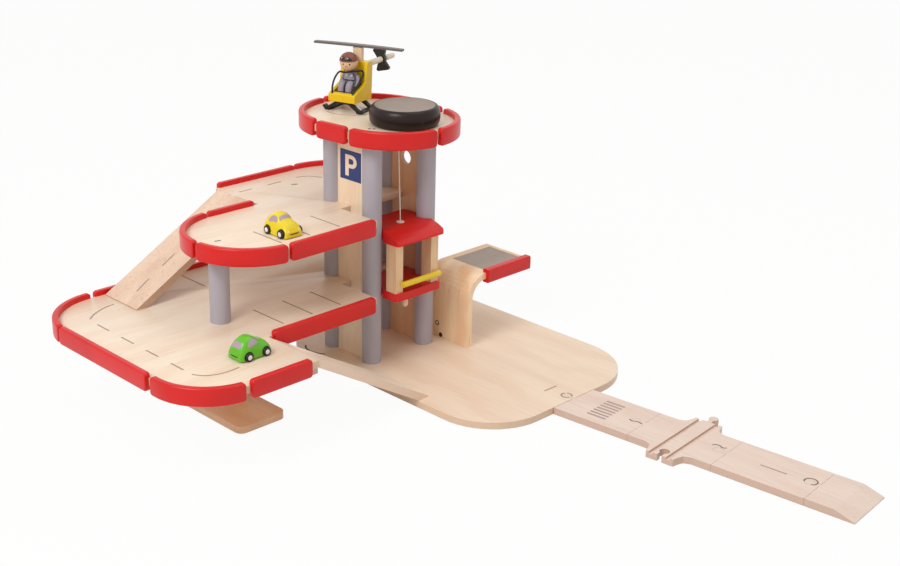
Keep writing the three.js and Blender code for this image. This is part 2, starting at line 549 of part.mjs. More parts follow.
function buildLowerRails() {
  const z = LEVEL_1, y0 = L1_CY - L1_CORNER_R;
  const leftEnd = L1_FRONT_CX - LEFT_RAIL_LAST, bendY = -BACK_BEND_LEAD;
  straightRail("lower_rail_left", z, L1_LEFT_CX + LEFT_RAIL_FIRST, y0, leftEnd, y0, 0, -1);
  const ends = CORNER_ENDS, r = L1_CORNER_R;
  const leftLead = { x: SIDE_X, y: L1_CY + CORNER_LEAD, nx: -1, ny: 0 };
  ledRail("lower_rail_left_curve", z, leftLead, L1_LEFT_CX, L1_CY, r, 180, 270 - ends.middle);
  const frontLead = { x: L1_FRONT_CX - CORNER_LEAD, y: y0, nx: 0, ny: -1 };
  ledRail("lower_rail_front_curve", z, frontLead, L1_FRONT_CX, L1_CY, r, 270, 360 - ends.front);
  const frontFirst = L1_CY - FRONT_RAIL_FIRST, frontLast = RAMP_HEAD_1 - FRONT_RAIL_LAST;
  straightRail("lower_rail_front", z, L1_EDGE_X, frontFirst, L1_EDGE_X, frontLast, 1, 0);
  straightRail(
    "lower_rail_shaft", z, EDGE_X, RAMP_HEAD_1 + SHAFT_RAIL_FIRST, EDGE_X, SHAFT_Y - SHAFT_RAIL_LAST, 1, 0,
  );
  straightRail("lower_rail_back", z, SIDE_X, L1_CY + BACK_RAIL_FIRST, SIDE_X, bendY - RAIL_SETBACK, -1, 0);
  const k0 = BACK_CURVE_ANGLE / STEP_ANGLE, k1 = 180 / STEP_ANGLE;
  const bend = arcStations(END_CX, 0, END_R, 0, STEP_ANGLE, k0, k1).reverse();
  const stations = [{ x: SIDE_X, y: bendY, nx: -1, ny: 0 }, ...bend];
  add("lower_rail_back_curve", sweep(railProfile(z - DECK_T / 2, RAIL_H), stations), RED, 0.4);
}

// A ramp board leans on the deck edge and ends on the level below
function rampBoard(zHigh, zLow, run) {
  const drop = zHigh - zLow;
  const len = Math.hypot(run, drop), nx = drop / len, nz = run / len;
  const lip = RAMP_LIP, gap = FIT;
  const lowX = run - gap;
  const profile = [
    [gap, zHigh], [gap, zHigh - RAMP_T / nz],
    [lowX - ((RAMP_T / nz) * run) / drop, zLow + gap],
    [lowX, zLow + gap], [lowX + (lip * nx), zLow + gap + lip * nz],
  ];
  return profile;
}

function buildRamps() {
  const up = rampBoard(LEVEL_2, LEVEL_1, LONG_RUN);
  const long = sweep(up, lineStations(LONG_RAMP_X0, RAMP_HEAD_2, LONG_RAMP_X1, RAMP_HEAD_2, 0, -1));
  add("long_ramp", long, PINE);
  const down = rampBoard(LEVEL_1, PLATE, LOW_RUN);
  const low = sweep(down, lineStations(LOW_RAMP_X0, RAMP_HEAD_1, LOW_RAMP_X1, RAMP_HEAD_1, 0, 1));
  add("lower_ramp", low, PINE);
}

function buildFoot() {
  const board = toSolid(plate(roundRect(FOOT_X0, FOOT_X1, FOOT_Y0, FOOT_Y1, FOOT_CORNER), 0, PLATE));
  const low = PLATE / 2, high = LEVEL_1 - DECK_T;
  const post = disc(FOOT_POST.x, FOOT_POST.y, low, PILLAR_R, high - low);
  add("foot_stand", toGeometry(board.add(toSolid(post))), TAN);
}

// The straight sides touch both circles; their normals stand at plus and minus this angle
function topTangent() {
  return Math.acos((TOP_R_A - TOP_R_B) / (TOP_CX_B - TOP_CX_A)) / D2R;
}

function buildTopDeck() {
  const t = topTangent();
  const outline = [
    ...arc(TOP_CX_B, 0, TOP_R_B, -t, t, TOP_COUNT_B),
    ...arc(TOP_CX_A, 0, TOP_R_A, t, 360 - t, TOP_COUNT_A),
  ];
  const hole = circleHole(CORD_TOP_X, CORD_TOP_Y, CORD_R + CORD_EASE, 12);
  const bore = circleHole(DISC_X, DISC_Y, AXLE_R + RUN, 24);
  add("top_deck", plate(outline, LEVEL_3 - DECK_T, DECK_T, [hole, bore]), PINE);
}

// Rail stations along the closed deck edge, counted in its own corners
function topStations(k0, k1) {
  const t = topTangent(), nb = TOP_COUNT_B, na = TOP_COUNT_A;
  const ring = [
    ...arcStations(TOP_CX_B, 0, TOP_R_B, -t, (2 * t) / nb, 0, nb),
    ...arcStations(TOP_CX_A, 0, TOP_R_A, t, (360 - 2 * t) / na, 0, na),
  ];
  const at = (k) => {
    const i = Math.floor(k), f = k - i, a = ring[i % ring.length], b = ring[(i + 1) % ring.length];
    const mix = (key) => a[key] + (b[key] - a[key]) * f;
    return { x: mix("x"), y: mix("y"), nx: mix("nx"), ny: mix("ny") };
  };
  const stops = [k0];
  for (let k = Math.floor(k0) + 1; k < k1 - 1e-6; k++) stops.push(k);
  stops.push(k1);
  return stops.map(at);
}

function topRail(name, k0, k1) {
  add(name, sweep(railProfile(LEVEL_3 - DECK_T / 2, RAIL_H), topStations(k0, k1)), RED, 0.4);
}

function buildTopRails() {
  const nb = TOP_COUNT_B, na = TOP_COUNT_A, gap = 0.22, ahead = 0.6, before = 0.86;
  const backStart = nb + 0.08, backEnd = nb + 0.94, left = nb + 1 + na / 2, count = nb + na + 1;
  topRail("top_rail_right_curve", nb / 2 + gap, backStart - 0.5);
  topRail("top_rail_back", backStart, backEnd);
  topRail("top_rail_back_curve", nb + 1 + 0.4, left - gap);
  topRail("top_rail_left_curve", left + gap, count - ahead - 2 * gap);
  topRail("top_rail_front", count - ahead, count + before);
  topRail("top_rail_front_curve", count + before + 0.08, count + 1 + nb / 2 - gap);
}

function lathe(points, n) {
  const pts = points.map(([r, z]) => new THREE.Vector2(r, z));
  return new THREE.LatheGeometry(pts, n).rotateX(Math.PI / 2);
}

function buildWinch() {
  const z = LEVEL_3 + DISC_GAP, h = DISC_H, well = DRUM_H;
  const low = -(DECK_T + DISC_GAP);
  const profile = [
    [0, low], [AXLE_R - AXLE_SOFT, low], [AXLE_R, low + AXLE_SOFT], [AXLE_R, 0], [DRUM_R, 0], [DRUM_R, well],
    [DISC_R - DISC_WALL, well], [DISC_R - DISC_WALL, 0], [DISC_R - DISC_FOOT, 0],
    ...DISC_RIM_SHARES.map(([a, b]) => [a * DISC_R, b * h]),
  ];
  add("winch_disc", lathe(profile, 40).translate(DISC_X, DISC_Y, z), DARK, 0.35);
  const start = LIFT_ROOF_Z + LIFT_ROOF_T, rise = LEVEL_3 + CORD_RISE - start;
  const cord = disc(0, 0, 0, CORD_R, rise, 10);
  cord.applyMatrix4(new THREE.Matrix4().makeShear(0, 0, 0, 0, CORD_LEAN_X / rise, CORD_LEAN_Y / rise));
  add("lift_cord", cord.translate(CORD_X, CORD_Y, start), 0xf2efe6);
}

// The lift car's corners are notched round the pillars
function notched(geometry) {
  let solid = toSolid(geometry);
  const low = LIFT_FLOOR_Z - OVERRUN, high = LIFT_ROOF_Z + LIFT_ROOF_T + OVERRUN;
  for (const y of [-TOWER_Y, TOWER_Y]) {
    solid = solid.subtract(toSolid(disc(TOWER_X, y, low, PILLAR_R + NOTCH_EASE, high - low, 32)));
  }
  return solid;
}

function buildLiftFloor() {
  const shape = roundRect(LIFT_X0, LIFT_X1, LIFT_Y0, LIFT_Y1, LIFT_CORNER, 5);
  const peg = lathe(PEG_SHARES.map(([a, b]) => [a * PEG_R, b * PEG_L]), 16);
  const floor = notched(plate(shape, LIFT_FLOOR_Z, LIFT_FLOOR_T))
    .add(toSolid(peg.translate(PEG_X, PEG_Y, LIFT_FLOOR_Z)));
  add("lift_floor", toGeometry(floor), RED, 0.4);
}

function buildLiftRoof() {
  const x0 = LIFT_X0, x1 = LIFT_X1 + ROOF_OVER, y0 = LIFT_Y0 - ROOF_SIDE, y1 = LIFT_Y1 + ROOF_SIDE;
  const shape = ROOF_SHARES.map(([a, b]) => [x0 + a * (x1 - x0), LIFT_ROOF_Z + b * LIFT_ROOF_T]);
  const body = notched(sweep(shape, lineStations(0, y0, 0, y1, 1, 0)));
  const rounding = roundRect(x0, x1, y0, y1, LIFT_CORNER, 5);
  const mould = plate(rounding, LIFT_ROOF_Z - OVERRUN / 2, LIFT_ROOF_T + OVERRUN);
  add("lift_roof", toGeometry(body.intersect(toSolid(mould))), RED, 0.4);
}

function buildLiftPosts() {
  const low = LIFT_FLOOR_TOP, high = LIFT_ROOF_Z;
  add("lift_post_front", box(POST_X0, POST_X1, -POST_Y1, -POST_Y0, low, high), PINE);
  const x0 = (POST_X0 + POST_X1) / 2, x1 = GATE_X + GATE_R;
  const pin = new THREE.CylinderGeometry(GATE_PIN_R, GATE_PIN_R, x1 - x0, 16)
    .rotateZ(Math.PI / 2).translate((x0 + x1) / 2, GATE_PIVOT_Y, GATE_Z);
  const post = toSolid(box(POST_X0, POST_X1, POST_Y0, POST_Y1, low, high)).add(toSolid(pin));
  add("lift_post_right", toGeometry(post), PINE);
}

function buildGateBar() {
  const bar = new THREE.CylinderGeometry(GATE_R, GATE_R, GATE_Y1 - GATE_Y0, 20)
    .translate(GATE_X, (GATE_Y0 + GATE_Y1) / 2, GATE_Z);
  const bore = new THREE.CylinderGeometry(GATE_PIN_R + RUN, GATE_PIN_R + RUN, GATE_R * 3, 20)
    .rotateZ(Math.PI / 2).translate(GATE_X, GATE_PIVOT_Y, GATE_Z);
  add("gate_bar", toGeometry(toSolid(bar).subtract(toSolid(bore))), 0xe0c814, 0.4);
}

function buildLiftCar() {
  buildLiftFloor();
  buildLiftRoof();
  buildLiftPosts();
  buildGateBar();
}

function stationOutline() {
  const r = ST_BEND, t = ST_T, y0 = ST_Y0, y1 = ST_Y1, z1 = ST_TOP;
  return [
    [y0, PLATE], [y0 + t, PLATE], ...arc(y0 + r, z1 - r, r - t, 180, 90, 7),
    [y1, z1 - t], [y1, z1], ...arc(y0 + r, z1 - r, r, 90, 180, 8),
  ];
}

function buildStation() {
  const over = OVERRUN / 2;
  const body = sweep(stationOutline(), lineStations(ST_X0, 0, ST_X1, 0, 0, 1));
  const matCut = box(ST_X0 + MAT_INSET, ST_X1 - MAT_INSET, MAT_Y0, MAT_Y1, ST_TOP - MAT_T, ST_TOP + over);
  let solid = toSolid(body).subtract(toSolid(matCut));
  for (const hole of ST_HOLES) {
    const bore = new THREE.CylinderGeometry(ST_HOLE_R, ST_HOLE_R, ST_T + 2 * OVERRUN, 16);
    solid = solid.subtract(toSolid(bore.translate(hole.x, ST_Y0 + ST_T / 2, hole.z)));
  }
  add("station_canopy", toGeometry(solid), PINE);
  const profile = railProfile(ST_TOP - ST_T / 2, FASCIA_H, ST_T);
  add("station_fascia", sweep(profile, lineStations(ST_X1, FASCIA_Y0, ST_X1, FASCIA_Y1, 1, 0)), RED, 0.4);
}

// A sphere pushed out towards a box, then stretched
function pebble(a, b, c) {
  const geometry = new THREE.SphereGeometry(1, 18, 12);
  const p = geometry.attributes.position;
  for (let i = 0; i < p.count; i++) {
    const v = [p.getX(i), p.getY(i), p.getZ(i)];
    const size = v.reduce((sum, part) => sum + Math.abs(part) ** PEBBLE, 0) ** (1 / PEBBLE);
    p.setXYZ(i, (v[0] * a) / size, (v[1] * b) / size, (v[2] * c) / size);
  }
  return geometry;
}

// A high dome over cabin and tail and a lower bonnet, cut flat below
function carBody() {
  const w = CAR_W / 2 - CAR_TUCK;
  const dome = pebble(DOME_HALF, w, CAR_H - CAR_WAIST).translate(DOME_HALF - CAR_TAIL, 0, CAR_WAIST);
  const bonnet = pebble(BONNET_HALF, w, BONNET_H - CAR_WAIST).translate(CAR_NOSE - BONNET_HALF, 0, CAR_WAIST);
  const room = toSolid(box(-CAR_TAIL, CAR_NOSE, -w, w, CAR_LOW, CAR_H));
  let solid = toSolid(dome).add(toSolid(bonnet)).intersect(room);
  const r = WHEEL_R + ARCH_EASE, wire = AXLE_WIRE_R + RUN;
  const inner = CAR_W / 2 - WHEEL_W - ARCH_GAP, deep = WHEEL_W + OVERRUN;
  for (const u of [-CAR_BASE / 2, CAR_BASE / 2]) {
    for (const s of [-1, 1]) {
      const arch = new THREE.CylinderGeometry(r, r, deep, 20).translate(u, s * (inner + deep / 2), WHEEL_R);
      solid = solid.subtract(toSolid(arch));
    }
    const bore = new THREE.CylinderGeometry(wire, wire, CAR_W, 16).translate(u, 0, WHEEL_R + FIT);
    solid = solid.subtract(toSolid(bore));
  }
  return toGeometry(solid);
}

function wheelset() {
  const half = CAR_W / 2, inner = half - WHEEL_W;
  const r = WHEEL_R, a = AXLE_WIRE_R, k = WHEEL_SOFT, m = WHEEL_BACK_SOFT;
  const profile = [
    [0, -half], [r - k, -half], [r, -half + k], [r, -inner - m], [r - m, -inner], [a, -inner],
    [a, inner], [r - m, inner], [r, inner + m], [r, half - k], [r - k, half], [0, half],
  ];
  return new THREE.LatheGeometry(profile.map(([x, y]) => new THREE.Vector2(x, y)), 18);
}

function buildCar(prefix, place, deck, color) {
  const put = (g) => g.rotateZ(place.yaw * D2R).translate(place.x, place.y, deck);
  add(prefix + "_body", put(carBody()), color, 0.35);
  const set = (u) => put(wheelset().translate(u, 0, WHEEL_R + FIT));
  add(prefix + "_wheels_front", set(CAR_BASE / 2), DARK);
  add(prefix + "_wheels_rear", set(-CAR_BASE / 2), DARK);
}

// Helicopter parts are drawn facing -Y with the seat centred, then turned
function putHeli(geometry) {
  return geometry.rotateZ(HELI.yaw * D2R).translate(HELI.x, HELI.y, LEVEL_3);
}

function seatSection() {
  return SEAT_SHARES.map(([a, b]) => [a * SEAT_HALF_L, SEAT_Z + b * SEAT_H]);
}

function seatHollow() {
  const l = SEAT_HALF_L, floor = SEAT_Z + SEAT_FLOOR;
  const open = HOLLOW_SHARES.slice(1).map(([a, b]) => [a * l, SEAT_Z + b * SEAT_H]);
  return [
    [SEAT_WALL - l, floor], [HOLLOW_SHARES[0][0] * l, floor], ...open,
    [SEAT_WALL - l, SEAT_Z + HOLLOW_LIP_SHARE * SEAT_H],
  ];
}

// The mast's foot stands in the thick back of the seat; grow gives its socket
function mastFoot(grow, top) {
  const h = MAST_HALF + grow, y1 = SEAT_HALF_L - MAST_INSET + grow, y0 = y1 - MAST_T - 2 * grow;
  return toSolid(box(MAST_X - h, MAST_X + h, y0, y1, SEAT_TOP - MAST_SUNK, top));
}

function buildSeat() {
  const w = SEAT_W / 2, inner = w - SEAT_WALL;
  let solid = toSolid(sweep(seatSection(), lineStations(-w, 0, w, 0, 0, 1)));
  solid = solid.subtract(toSolid(sweep(seatHollow(), lineStations(-inner, 0, inner, 0, 0, 1))));
  const hoopSeat = toSolid(hoopGeometry(HOOP_R + FIT));
  solid = solid.subtract(mastFoot(MAST_EASE, SEAT_TOP + OVERRUN)).subtract(hoopSeat);
  add("heli_seat", putHeli(toGeometry(solid)), 0xe0c014, 0.35);
}

// A thin blade that droops and narrows towards both ends
function rotorGeometry() {
  const n = 8, pos = [], idx = [];
  for (let i = 0; i <= n; i++) {
    const s = -1 + (2 * i) / n, u = s * ROTOR_HALF, z = -ROTOR_DROOP * s * s, top = z + ROTOR_T;
    const w = (ROTOR_W / 2) * (1 - ROTOR_TAPER_SHARE * s * s);
    pos.push(u, -w, z, u, w, z, u, w, top, u, -w, top);
  }
  const quad = (a, b, c, d) => idx.push(a, c, b, a, d, c);
  for (let i = 0; i < n; i++) {
    const a = i * 4, b = a + 4;
    for (let j = 0; j < 4; j++) quad(a + j, a + ((j + 1) % 4), b + ((j + 1) % 4), b + j);
  }
  quad(0, 3, 2, 1);
  quad(n * 4, n * 4 + 1, n * 4 + 2, n * 4 + 3);
  const geometry = new THREE.BufferGeometry();
  geometry.setAttribute("position", new THREE.Float32BufferAttribute(pos, 3));
  geometry.setIndex(idx);
  if (signedVolume(geometry) < 0) geometry.setIndex([...idx].reverse());
  const out = geometry.toNonIndexed();
  out.computeVertexNormals();
  return out;
}

function buildMast() {
  const y = SEAT_HALF_L - MAST_INSET - MAST_T / 2, top = SEAT_TOP + MAST_RISE;
  const pivot = toSolid(disc(MAST_X, y, top - PIVOT_SUNK, ROTOR_PIN_R, PIVOT_L, 16));
  add("heli_mast", putHeli(toGeometry(mastFoot(0, top).add(pivot))), PINE);
  const hub = toSolid(rotorGeometry()).add(toSolid(disc(0, 0, -HUB_DROP, HUB_R, HUB_H, 16)));
  const bore = toSolid(disc(0, 0, -HUB_H, ROTOR_PIN_R + RUN, 3 * HUB_H, 20));
  const blade = toGeometry(hub.subtract(bore)).rotateZ(ROTOR_YAW * D2R).translate(MAST_X, y, top + ROTOR_GAP);
  add("heli_rotor", putHeli(blade), 0x4a4542, 0.5);
}

function buildBoom() {
  const y0 = SEAT_HALF_L + BOOM_SEAT, y1 = SEAT_HALF_L + BOOM_L, z = SEAT_TOP - BOOM_DROP;
  const rod = (r0, r1, a, b, n) => toSolid(
    new THREE.CylinderGeometry(r1, r0, b - a, n).translate(0, (a + b) / 2, z),
  );
  const tip0 = y1 + TAIL_GAP + TAIL_T + TAIL_PLAY, tip1 = tip0 + BOOM_TIP_L;
  const cut = sweep(seatSection(), lineStations(-SEAT_W / 2, FIT, SEAT_W / 2, FIT, 0, 1));
  const solid = rod(BOOM_R, BOOM_R, y0, y1, 18).add(rod(BOOM_PIN_R, BOOM_PIN_R, y1 - BOOM_R, tip1, 12))
    .add(rod(BOOM_R - BOOM_TIP_SOFT, BOOM_PIN_R, tip0, tip1, 14)).subtract(toSolid(cut));
  add("heli_tail_boom", putHeli(toGeometry(solid)), 0xe9dfcf);
  buildTailRotor(y1 + TAIL_GAP, z);
}

function buildTailRotor(y, z) {
  const half = BOW_SHARES.map(([a, b]) => [a * BOW_L, b * BOW_W]);
  const bow = [...half, ...half.map(([a, b]) => [-a, -b])];
  const bore = circleHole(0, 0, BOOM_PIN_R + RUN, 16);
  const blade = plate(bow, 0, TAIL_T, [bore]).rotateX(Math.PI / 2).rotateY(BOW_TURN * D2R);
  add("heli_tail_rotor", putHeli(blade.translate(0, y + TAIL_T, z)), 0x221f1e, 0.4);
}

function skidSide(s) {
  const half = SKID_LEG_W / 2, foot = SKID_SPREAD, hip = SKID_HIP, t = SKID_T, low = FIT, at = SKID_AT;
  const curl = SKID_SHARES.map(([a, b]) => [foot + a * t, low + b * t]);
  const line = [[hip - t, SEAT_Z], ...curl, [hip + t, SEAT_Z]].map(([u, z]) => [s * u, z]);
  const legs = [-at, at].map((y) => toSolid(sweep(line, lineStations(0, y - half, 0, y + half, 1, 0))));
  const x0 = foot - RUNNER_OUT_SHARE * t, x1 = x0 + RUNNER_SHARE * t;
  const ends = s > 0 ? [x0, x1] : [-x1, -x0];
  const runner = toSolid(box(ends[0], ends[1], -at - half, at + half, low, low + t));
  return legs[0].add(legs[1]).add(runner);
}

function buildSkids() {
  const half = SKID_LEG_W / 2, x = SKID_HIP;
  let solid = skidSide(-1).add(skidSide(1));
  for (const y of [-SKID_AT, SKID_AT]) {
    solid = solid.add(toSolid(box(-x, x, y - half, y + half, SEAT_Z - SKID_T, SEAT_Z)));
  }
  add("heli_skids", putHeli(toGeometry(solid)), 0x262322, 0.4);
}

function pilotSolid(z) {
  const coat = COAT_SHARES.map(([a, b]) => [a * COAT_R, b * COAT_H]);
  const torso = toSolid(lathe(coat, 18).scale(1, COAT_DEPTH_SHARE, 1).translate(0, COAT_Y, z));
  const head = new THREE.SphereGeometry(HEAD_R, 18, 12).rotateX(Math.PI / 2).translate(0, HEAD_Y, z + HEAD_Z);
  let body = torso.add(toSolid(head));
  const side = LEG_SHARES.map(([a, b]) => [a * LEG_REACH, z + b * LEG_H]);
  for (const s of [-1, 1]) {
    const ends = [s * LEG_INNER_SHARE * COAT_R, s * LEG_OUTER_SHARE * COAT_R].sort((a, b) => a - b);
    const leg = sweep(side, lineStations(ends[0], 0, ends[1], 0, 0, 1));
    const arm = new THREE.CapsuleGeometry(ARM_R, ARM_L, 2, 8).rotateX(ARM_ANGLE * D2R);
    body = body.add(toSolid(leg)).add(toSolid(arm.translate(s * COAT_R, ARM_Y, z + ARM_Z)));
  }
  return body;
}

function buildPilot() {
  const z = SEAT_Z + SEAT_FLOOR + SIT_GAP, w = SEAT_W, top = z + HEAD_Z + 2 * HEAD_R;
  const above = toSolid(box(-w, w, -w, w, z, top));
  add("heli_pilot", putHeli(toGeometry(pilotSolid(z).intersect(above))), 0x77717f);
}

// One rod runs up from the lip, round the neck, back to the seat and down the other cheek
function hoopGeometry(r) {
  const w = SEAT_W / 2;
  const way = HOOP_SHARES.map(([a, b, c]) => new THREE.Vector3(a * w, b * SEAT_HALF_L, SEAT_Z + c * HOOP_H));
  const ring = new THREE.Shape(arc(0, 0, r, 0, 315, 7).map(([a, b]) => new THREE.Vector2(a, b)));
  const curve = new THREE.CatmullRomCurve3(way);
  return new THREE.ExtrudeGeometry(ring, { steps: 36, extrudePath: curve, bevelEnabled: false });
}

function buildHeli() {
  buildSeat();
  buildMast();
  buildBoom();
  buildSkids();
  buildPilot();
  add("heli_hoop", putHeli(hoopGeometry(HOOP_R)), 0x1d1b1a, 0.3);
}

buildBase();
buildRoads();
buildPillars();
buildPanels();
buildUpperDeck();
buildUpperRails();
buildLowerDeck();
buildLowerRails();
buildRamps();
buildFoot();
buildTopDeck();
buildTopRails();
buildWinch();
buildLiftCar();
buildStation();
buildCar("green_car", GREEN_CAR, LEVEL_1, 0x4fae26);
buildCar("yellow_car", YELLOW_CAR, LEVEL_2, 0xe6d21c);
buildHeli();

export default group;
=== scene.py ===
# %% [markdown]
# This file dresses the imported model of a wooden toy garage: a pillared tower with a lift, two curved
# decks joined by ramps, red edge rails and a strip of road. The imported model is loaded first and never
# moved, so every piece made here is placed from its boxes. All sizes below are in millimetres and are
# turned into metres where a mesh is made.

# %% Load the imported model
import math
import bpy
import bmesh
from mathutils import Matrix, Vector


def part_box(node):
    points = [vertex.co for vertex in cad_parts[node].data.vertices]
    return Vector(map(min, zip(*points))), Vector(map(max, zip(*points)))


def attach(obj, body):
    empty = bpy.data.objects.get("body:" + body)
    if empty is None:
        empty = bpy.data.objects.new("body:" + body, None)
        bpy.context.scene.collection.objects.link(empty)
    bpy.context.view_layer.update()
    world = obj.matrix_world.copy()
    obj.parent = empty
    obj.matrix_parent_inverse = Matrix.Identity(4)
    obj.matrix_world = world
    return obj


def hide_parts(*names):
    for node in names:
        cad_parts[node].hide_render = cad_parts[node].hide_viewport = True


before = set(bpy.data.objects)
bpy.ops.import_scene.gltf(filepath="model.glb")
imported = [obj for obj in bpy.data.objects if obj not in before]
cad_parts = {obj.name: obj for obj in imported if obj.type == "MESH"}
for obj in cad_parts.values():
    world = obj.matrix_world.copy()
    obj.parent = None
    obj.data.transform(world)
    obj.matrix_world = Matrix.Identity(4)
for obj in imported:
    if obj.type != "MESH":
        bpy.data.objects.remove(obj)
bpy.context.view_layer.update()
MM = 0.001


def node_box(node):
    low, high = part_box(node)
    return [value / MM for value in low], [value / MM for value in high]


LOWER_TOP = node_box("lower_deck")[1][2]
UPPER_TOP = node_box("upper_deck")[1][2]
ROOF_TOP = node_box("top_deck")[1][2]
BASE_TOP = node_box("base_plate")[1][2]
print("deck levels", BASE_TOP, LOWER_TOP, UPPER_TOP, ROOF_TOP)

# %% [markdown]
# The camera stands in front of the garage's corner, a little above the top deck. Its place, turn and
# focal length come from lines of the decks that run towards two vanishing points. The optical axis lies
# left of the picture's middle, so a small sideways shift moves the frame.

# %% Camera
IMAGE_WIDTH, IMAGE_HEIGHT = 900, 566
FOCAL_PIXELS, AXIS_PIXEL_X = 1413.3, 400
SENSOR = 36
EYE = (1437.4, -1332.2, 860.7)
PITCH, YAW, ROLL = math.radians(21.045), math.radians(46.272), math.radians(0.621)
forward = Vector((-math.sin(YAW) * math.cos(PITCH), math.cos(YAW) * math.cos(PITCH), -math.sin(PITCH)))
level_right = Vector((math.cos(YAW), math.sin(YAW), 0))
right = level_right * math.cos(ROLL) + level_right.cross(forward) * math.sin(ROLL)
up = right.cross(forward)
lens = bpy.data.cameras.new("camera")
lens.sensor_width = SENSOR
lens.lens = FOCAL_PIXELS * SENSOR / IMAGE_WIDTH
lens.shift_x = (IMAGE_WIDTH / 2 - AXIS_PIXEL_X) / IMAGE_WIDTH
camera = bpy.data.objects.new("camera", lens)
camera.matrix_world = Matrix.Translation(Vector(EYE) * MM) @ Matrix((right, up, -forward)).transposed().to_4x4()
bpy.context.scene.collection.objects.link(camera)
bpy.context.scene.camera = camera
print("lens", round(lens.lens, 2), "shift", round(lens.shift_x, 4))

# %% [markdown]
# A catalogue picture of a toy is lit softly from above and a little from the front left, on white. A
# white world gives the even light, one wide lamp gives the lacquer its highlights, and a second one
# opens the shaded side. The floor is pale and shows as white to the camera, with a trace of shadow.

# %% Light and floor
scene = bpy.context.scene
scene.view_settings.view_transform = "Standard"
WORLD_STRENGTH, WORLD_TINT, LAMP_TINT = 0.6, (1, 0.95, 0.89, 1), (0.97, 0.985, 1)
FLOOR_HALF, FLOOR_DROP, FLOOR_WHITE, WHITE = 6000, 0.05, 0.95, (1, 1, 1, 1)


def add_node(tree, kind, *inputs, **settings):
    """Add a node; its inputs are given in their order, each as a socket to link or as a plain value."""
    made = tree.nodes.new(kind)
    for key, value in settings.items():
        setattr(made, key, value)
    for socket, value in zip(made.inputs, inputs):
        if isinstance(value, bpy.types.NodeSocket):
            tree.links.new(value, socket)
        else:
            socket.default_value = value
    return made.outputs[0] if made.outputs else None


def seen_white(tree, share, plain, white):
    """Show a camera, glossy or transmission ray this share of white, and every other ray the plain shader."""
    path = tree.nodes.new("ShaderNodeLightPath").outputs
    seen = path["Is Camera Ray"]
    for kind in ("Is Glossy Ray", "Is Transmission Ray"):
        seen = add_node(tree, "ShaderNodeMath", seen, path[kind], operation="MAXIMUM")
    seen = add_node(tree, "ShaderNodeMath", seen, share, operation="MULTIPLY")
    return add_node(tree, "ShaderNodeMixShader", seen, plain, white)


def make_world():
    world = bpy.data.worlds.new("studio")
    scene.world = world
    world.use_nodes = True
    tree = world.node_tree
    tree.nodes.clear()
    plain = add_node(tree, "ShaderNodeBackground", WORLD_TINT, WORLD_STRENGTH)
    white = add_node(tree, "ShaderNodeBackground", WHITE)
    add_node(tree, "ShaderNodeOutputWorld", seen_white(tree, 1, plain, white))


def make_floor():
    half = FLOOR_HALF * MM
    mesh = bpy.data.meshes.new("floor")
    corners = [(-half, -half, 0), (half, -half, 0), (half, half, 0), (-half, half, 0)]
    mesh.from_pydata(corners, [], [(0, 1, 2, 3)])
    floor = bpy.data.objects.new("floor", mesh)
    floor.location.z = -FLOOR_DROP * MM
    scene.collection.objects.link(floor)
    material = bpy.data.materials.new("floor_white")
    material.use_nodes = True
    tree = material.node_tree
    board = tree.nodes["Principled BSDF"]
    for key, value in (("Base Color", (0.86, 0.85, 0.84, 1)), ("Roughness", 0.9), ("Specular IOR Level", 0)):
        board.inputs[key].default_value = value
    shown = seen_white(tree, FLOOR_WHITE, board.outputs[0], add_node(tree, "ShaderNodeEmission", WHITE))
    tree.links.new(shown, tree.nodes["Material Output"].inputs["Surface"])
    mesh.materials.append(material)


def area_lamp(name, place, aim, size, power):
    lamp = bpy.data.lights.new(name, "AREA")
    lamp.shape, lamp.size, lamp.energy = "DISK", size, power
    lamp.color = LAMP_TINT
    lamp_object = bpy.data.objects.new(name, lamp)
    lamp_object.location = place
    lamp_object.rotation_euler = (Vector(aim) - Vector(place)).to_track_quat("-Z", "Y").to_euler()
    scene.collection.objects.link(lamp_object)


make_world()
make_floor()
area_lamp("key_lamp", (0.35, -2.1, 2.0), (0, -0.05, 0.2), 1.3, 35)
area_lamp("top_lamp", (0.7, 0.5, 2.5), (0.1, 0, 0.2), 1.7, 10)

# %% [markdown]
# Shader maths reads best as plain arithmetic. One small class wraps a socket and adds a Math node for
# each operator, and a finish has one method that makes any other node from its settings and inputs.

# %% Shader maths
class Wire:
    """An output socket; arithmetic on it adds Math nodes to its finish."""

    def __init__(self, finish, socket):
        self.finish, self.socket = finish, socket

    def math(self, operation, first, second):
        return self.finish.node("ShaderNodeMath", {"operation": operation}, {0: first, 1: second})

    def __add__(self, other):
        return self.math("ADD", self, other)

    def __sub__(self, other):
        return self.math("SUBTRACT", self, other)

    def __rsub__(self, other):
        return self.math("SUBTRACT", other, self)

    def __mul__(self, other):
        return self.math("MULTIPLY", self, other)

    def __truediv__(self, other):
        return self.math("DIVIDE", self, other)

    def __rtruediv__(self, other):
        return self.math("DIVIDE", other, self)

    __radd__ = __add__
    __rmul__ = __mul__

    def most(self, other):
        return self.math("MAXIMUM", self, other)

    def size(self):
        return self.math("ABSOLUTE", self, 0)

    def step(self, low, high):
        settings = {"interpolation_type": "SMOOTHSTEP", "clamp": True}
        return self.finish.node("ShaderNodeMapRange", settings,
                                {"Value": self, "From Min": low, "From Max": high})


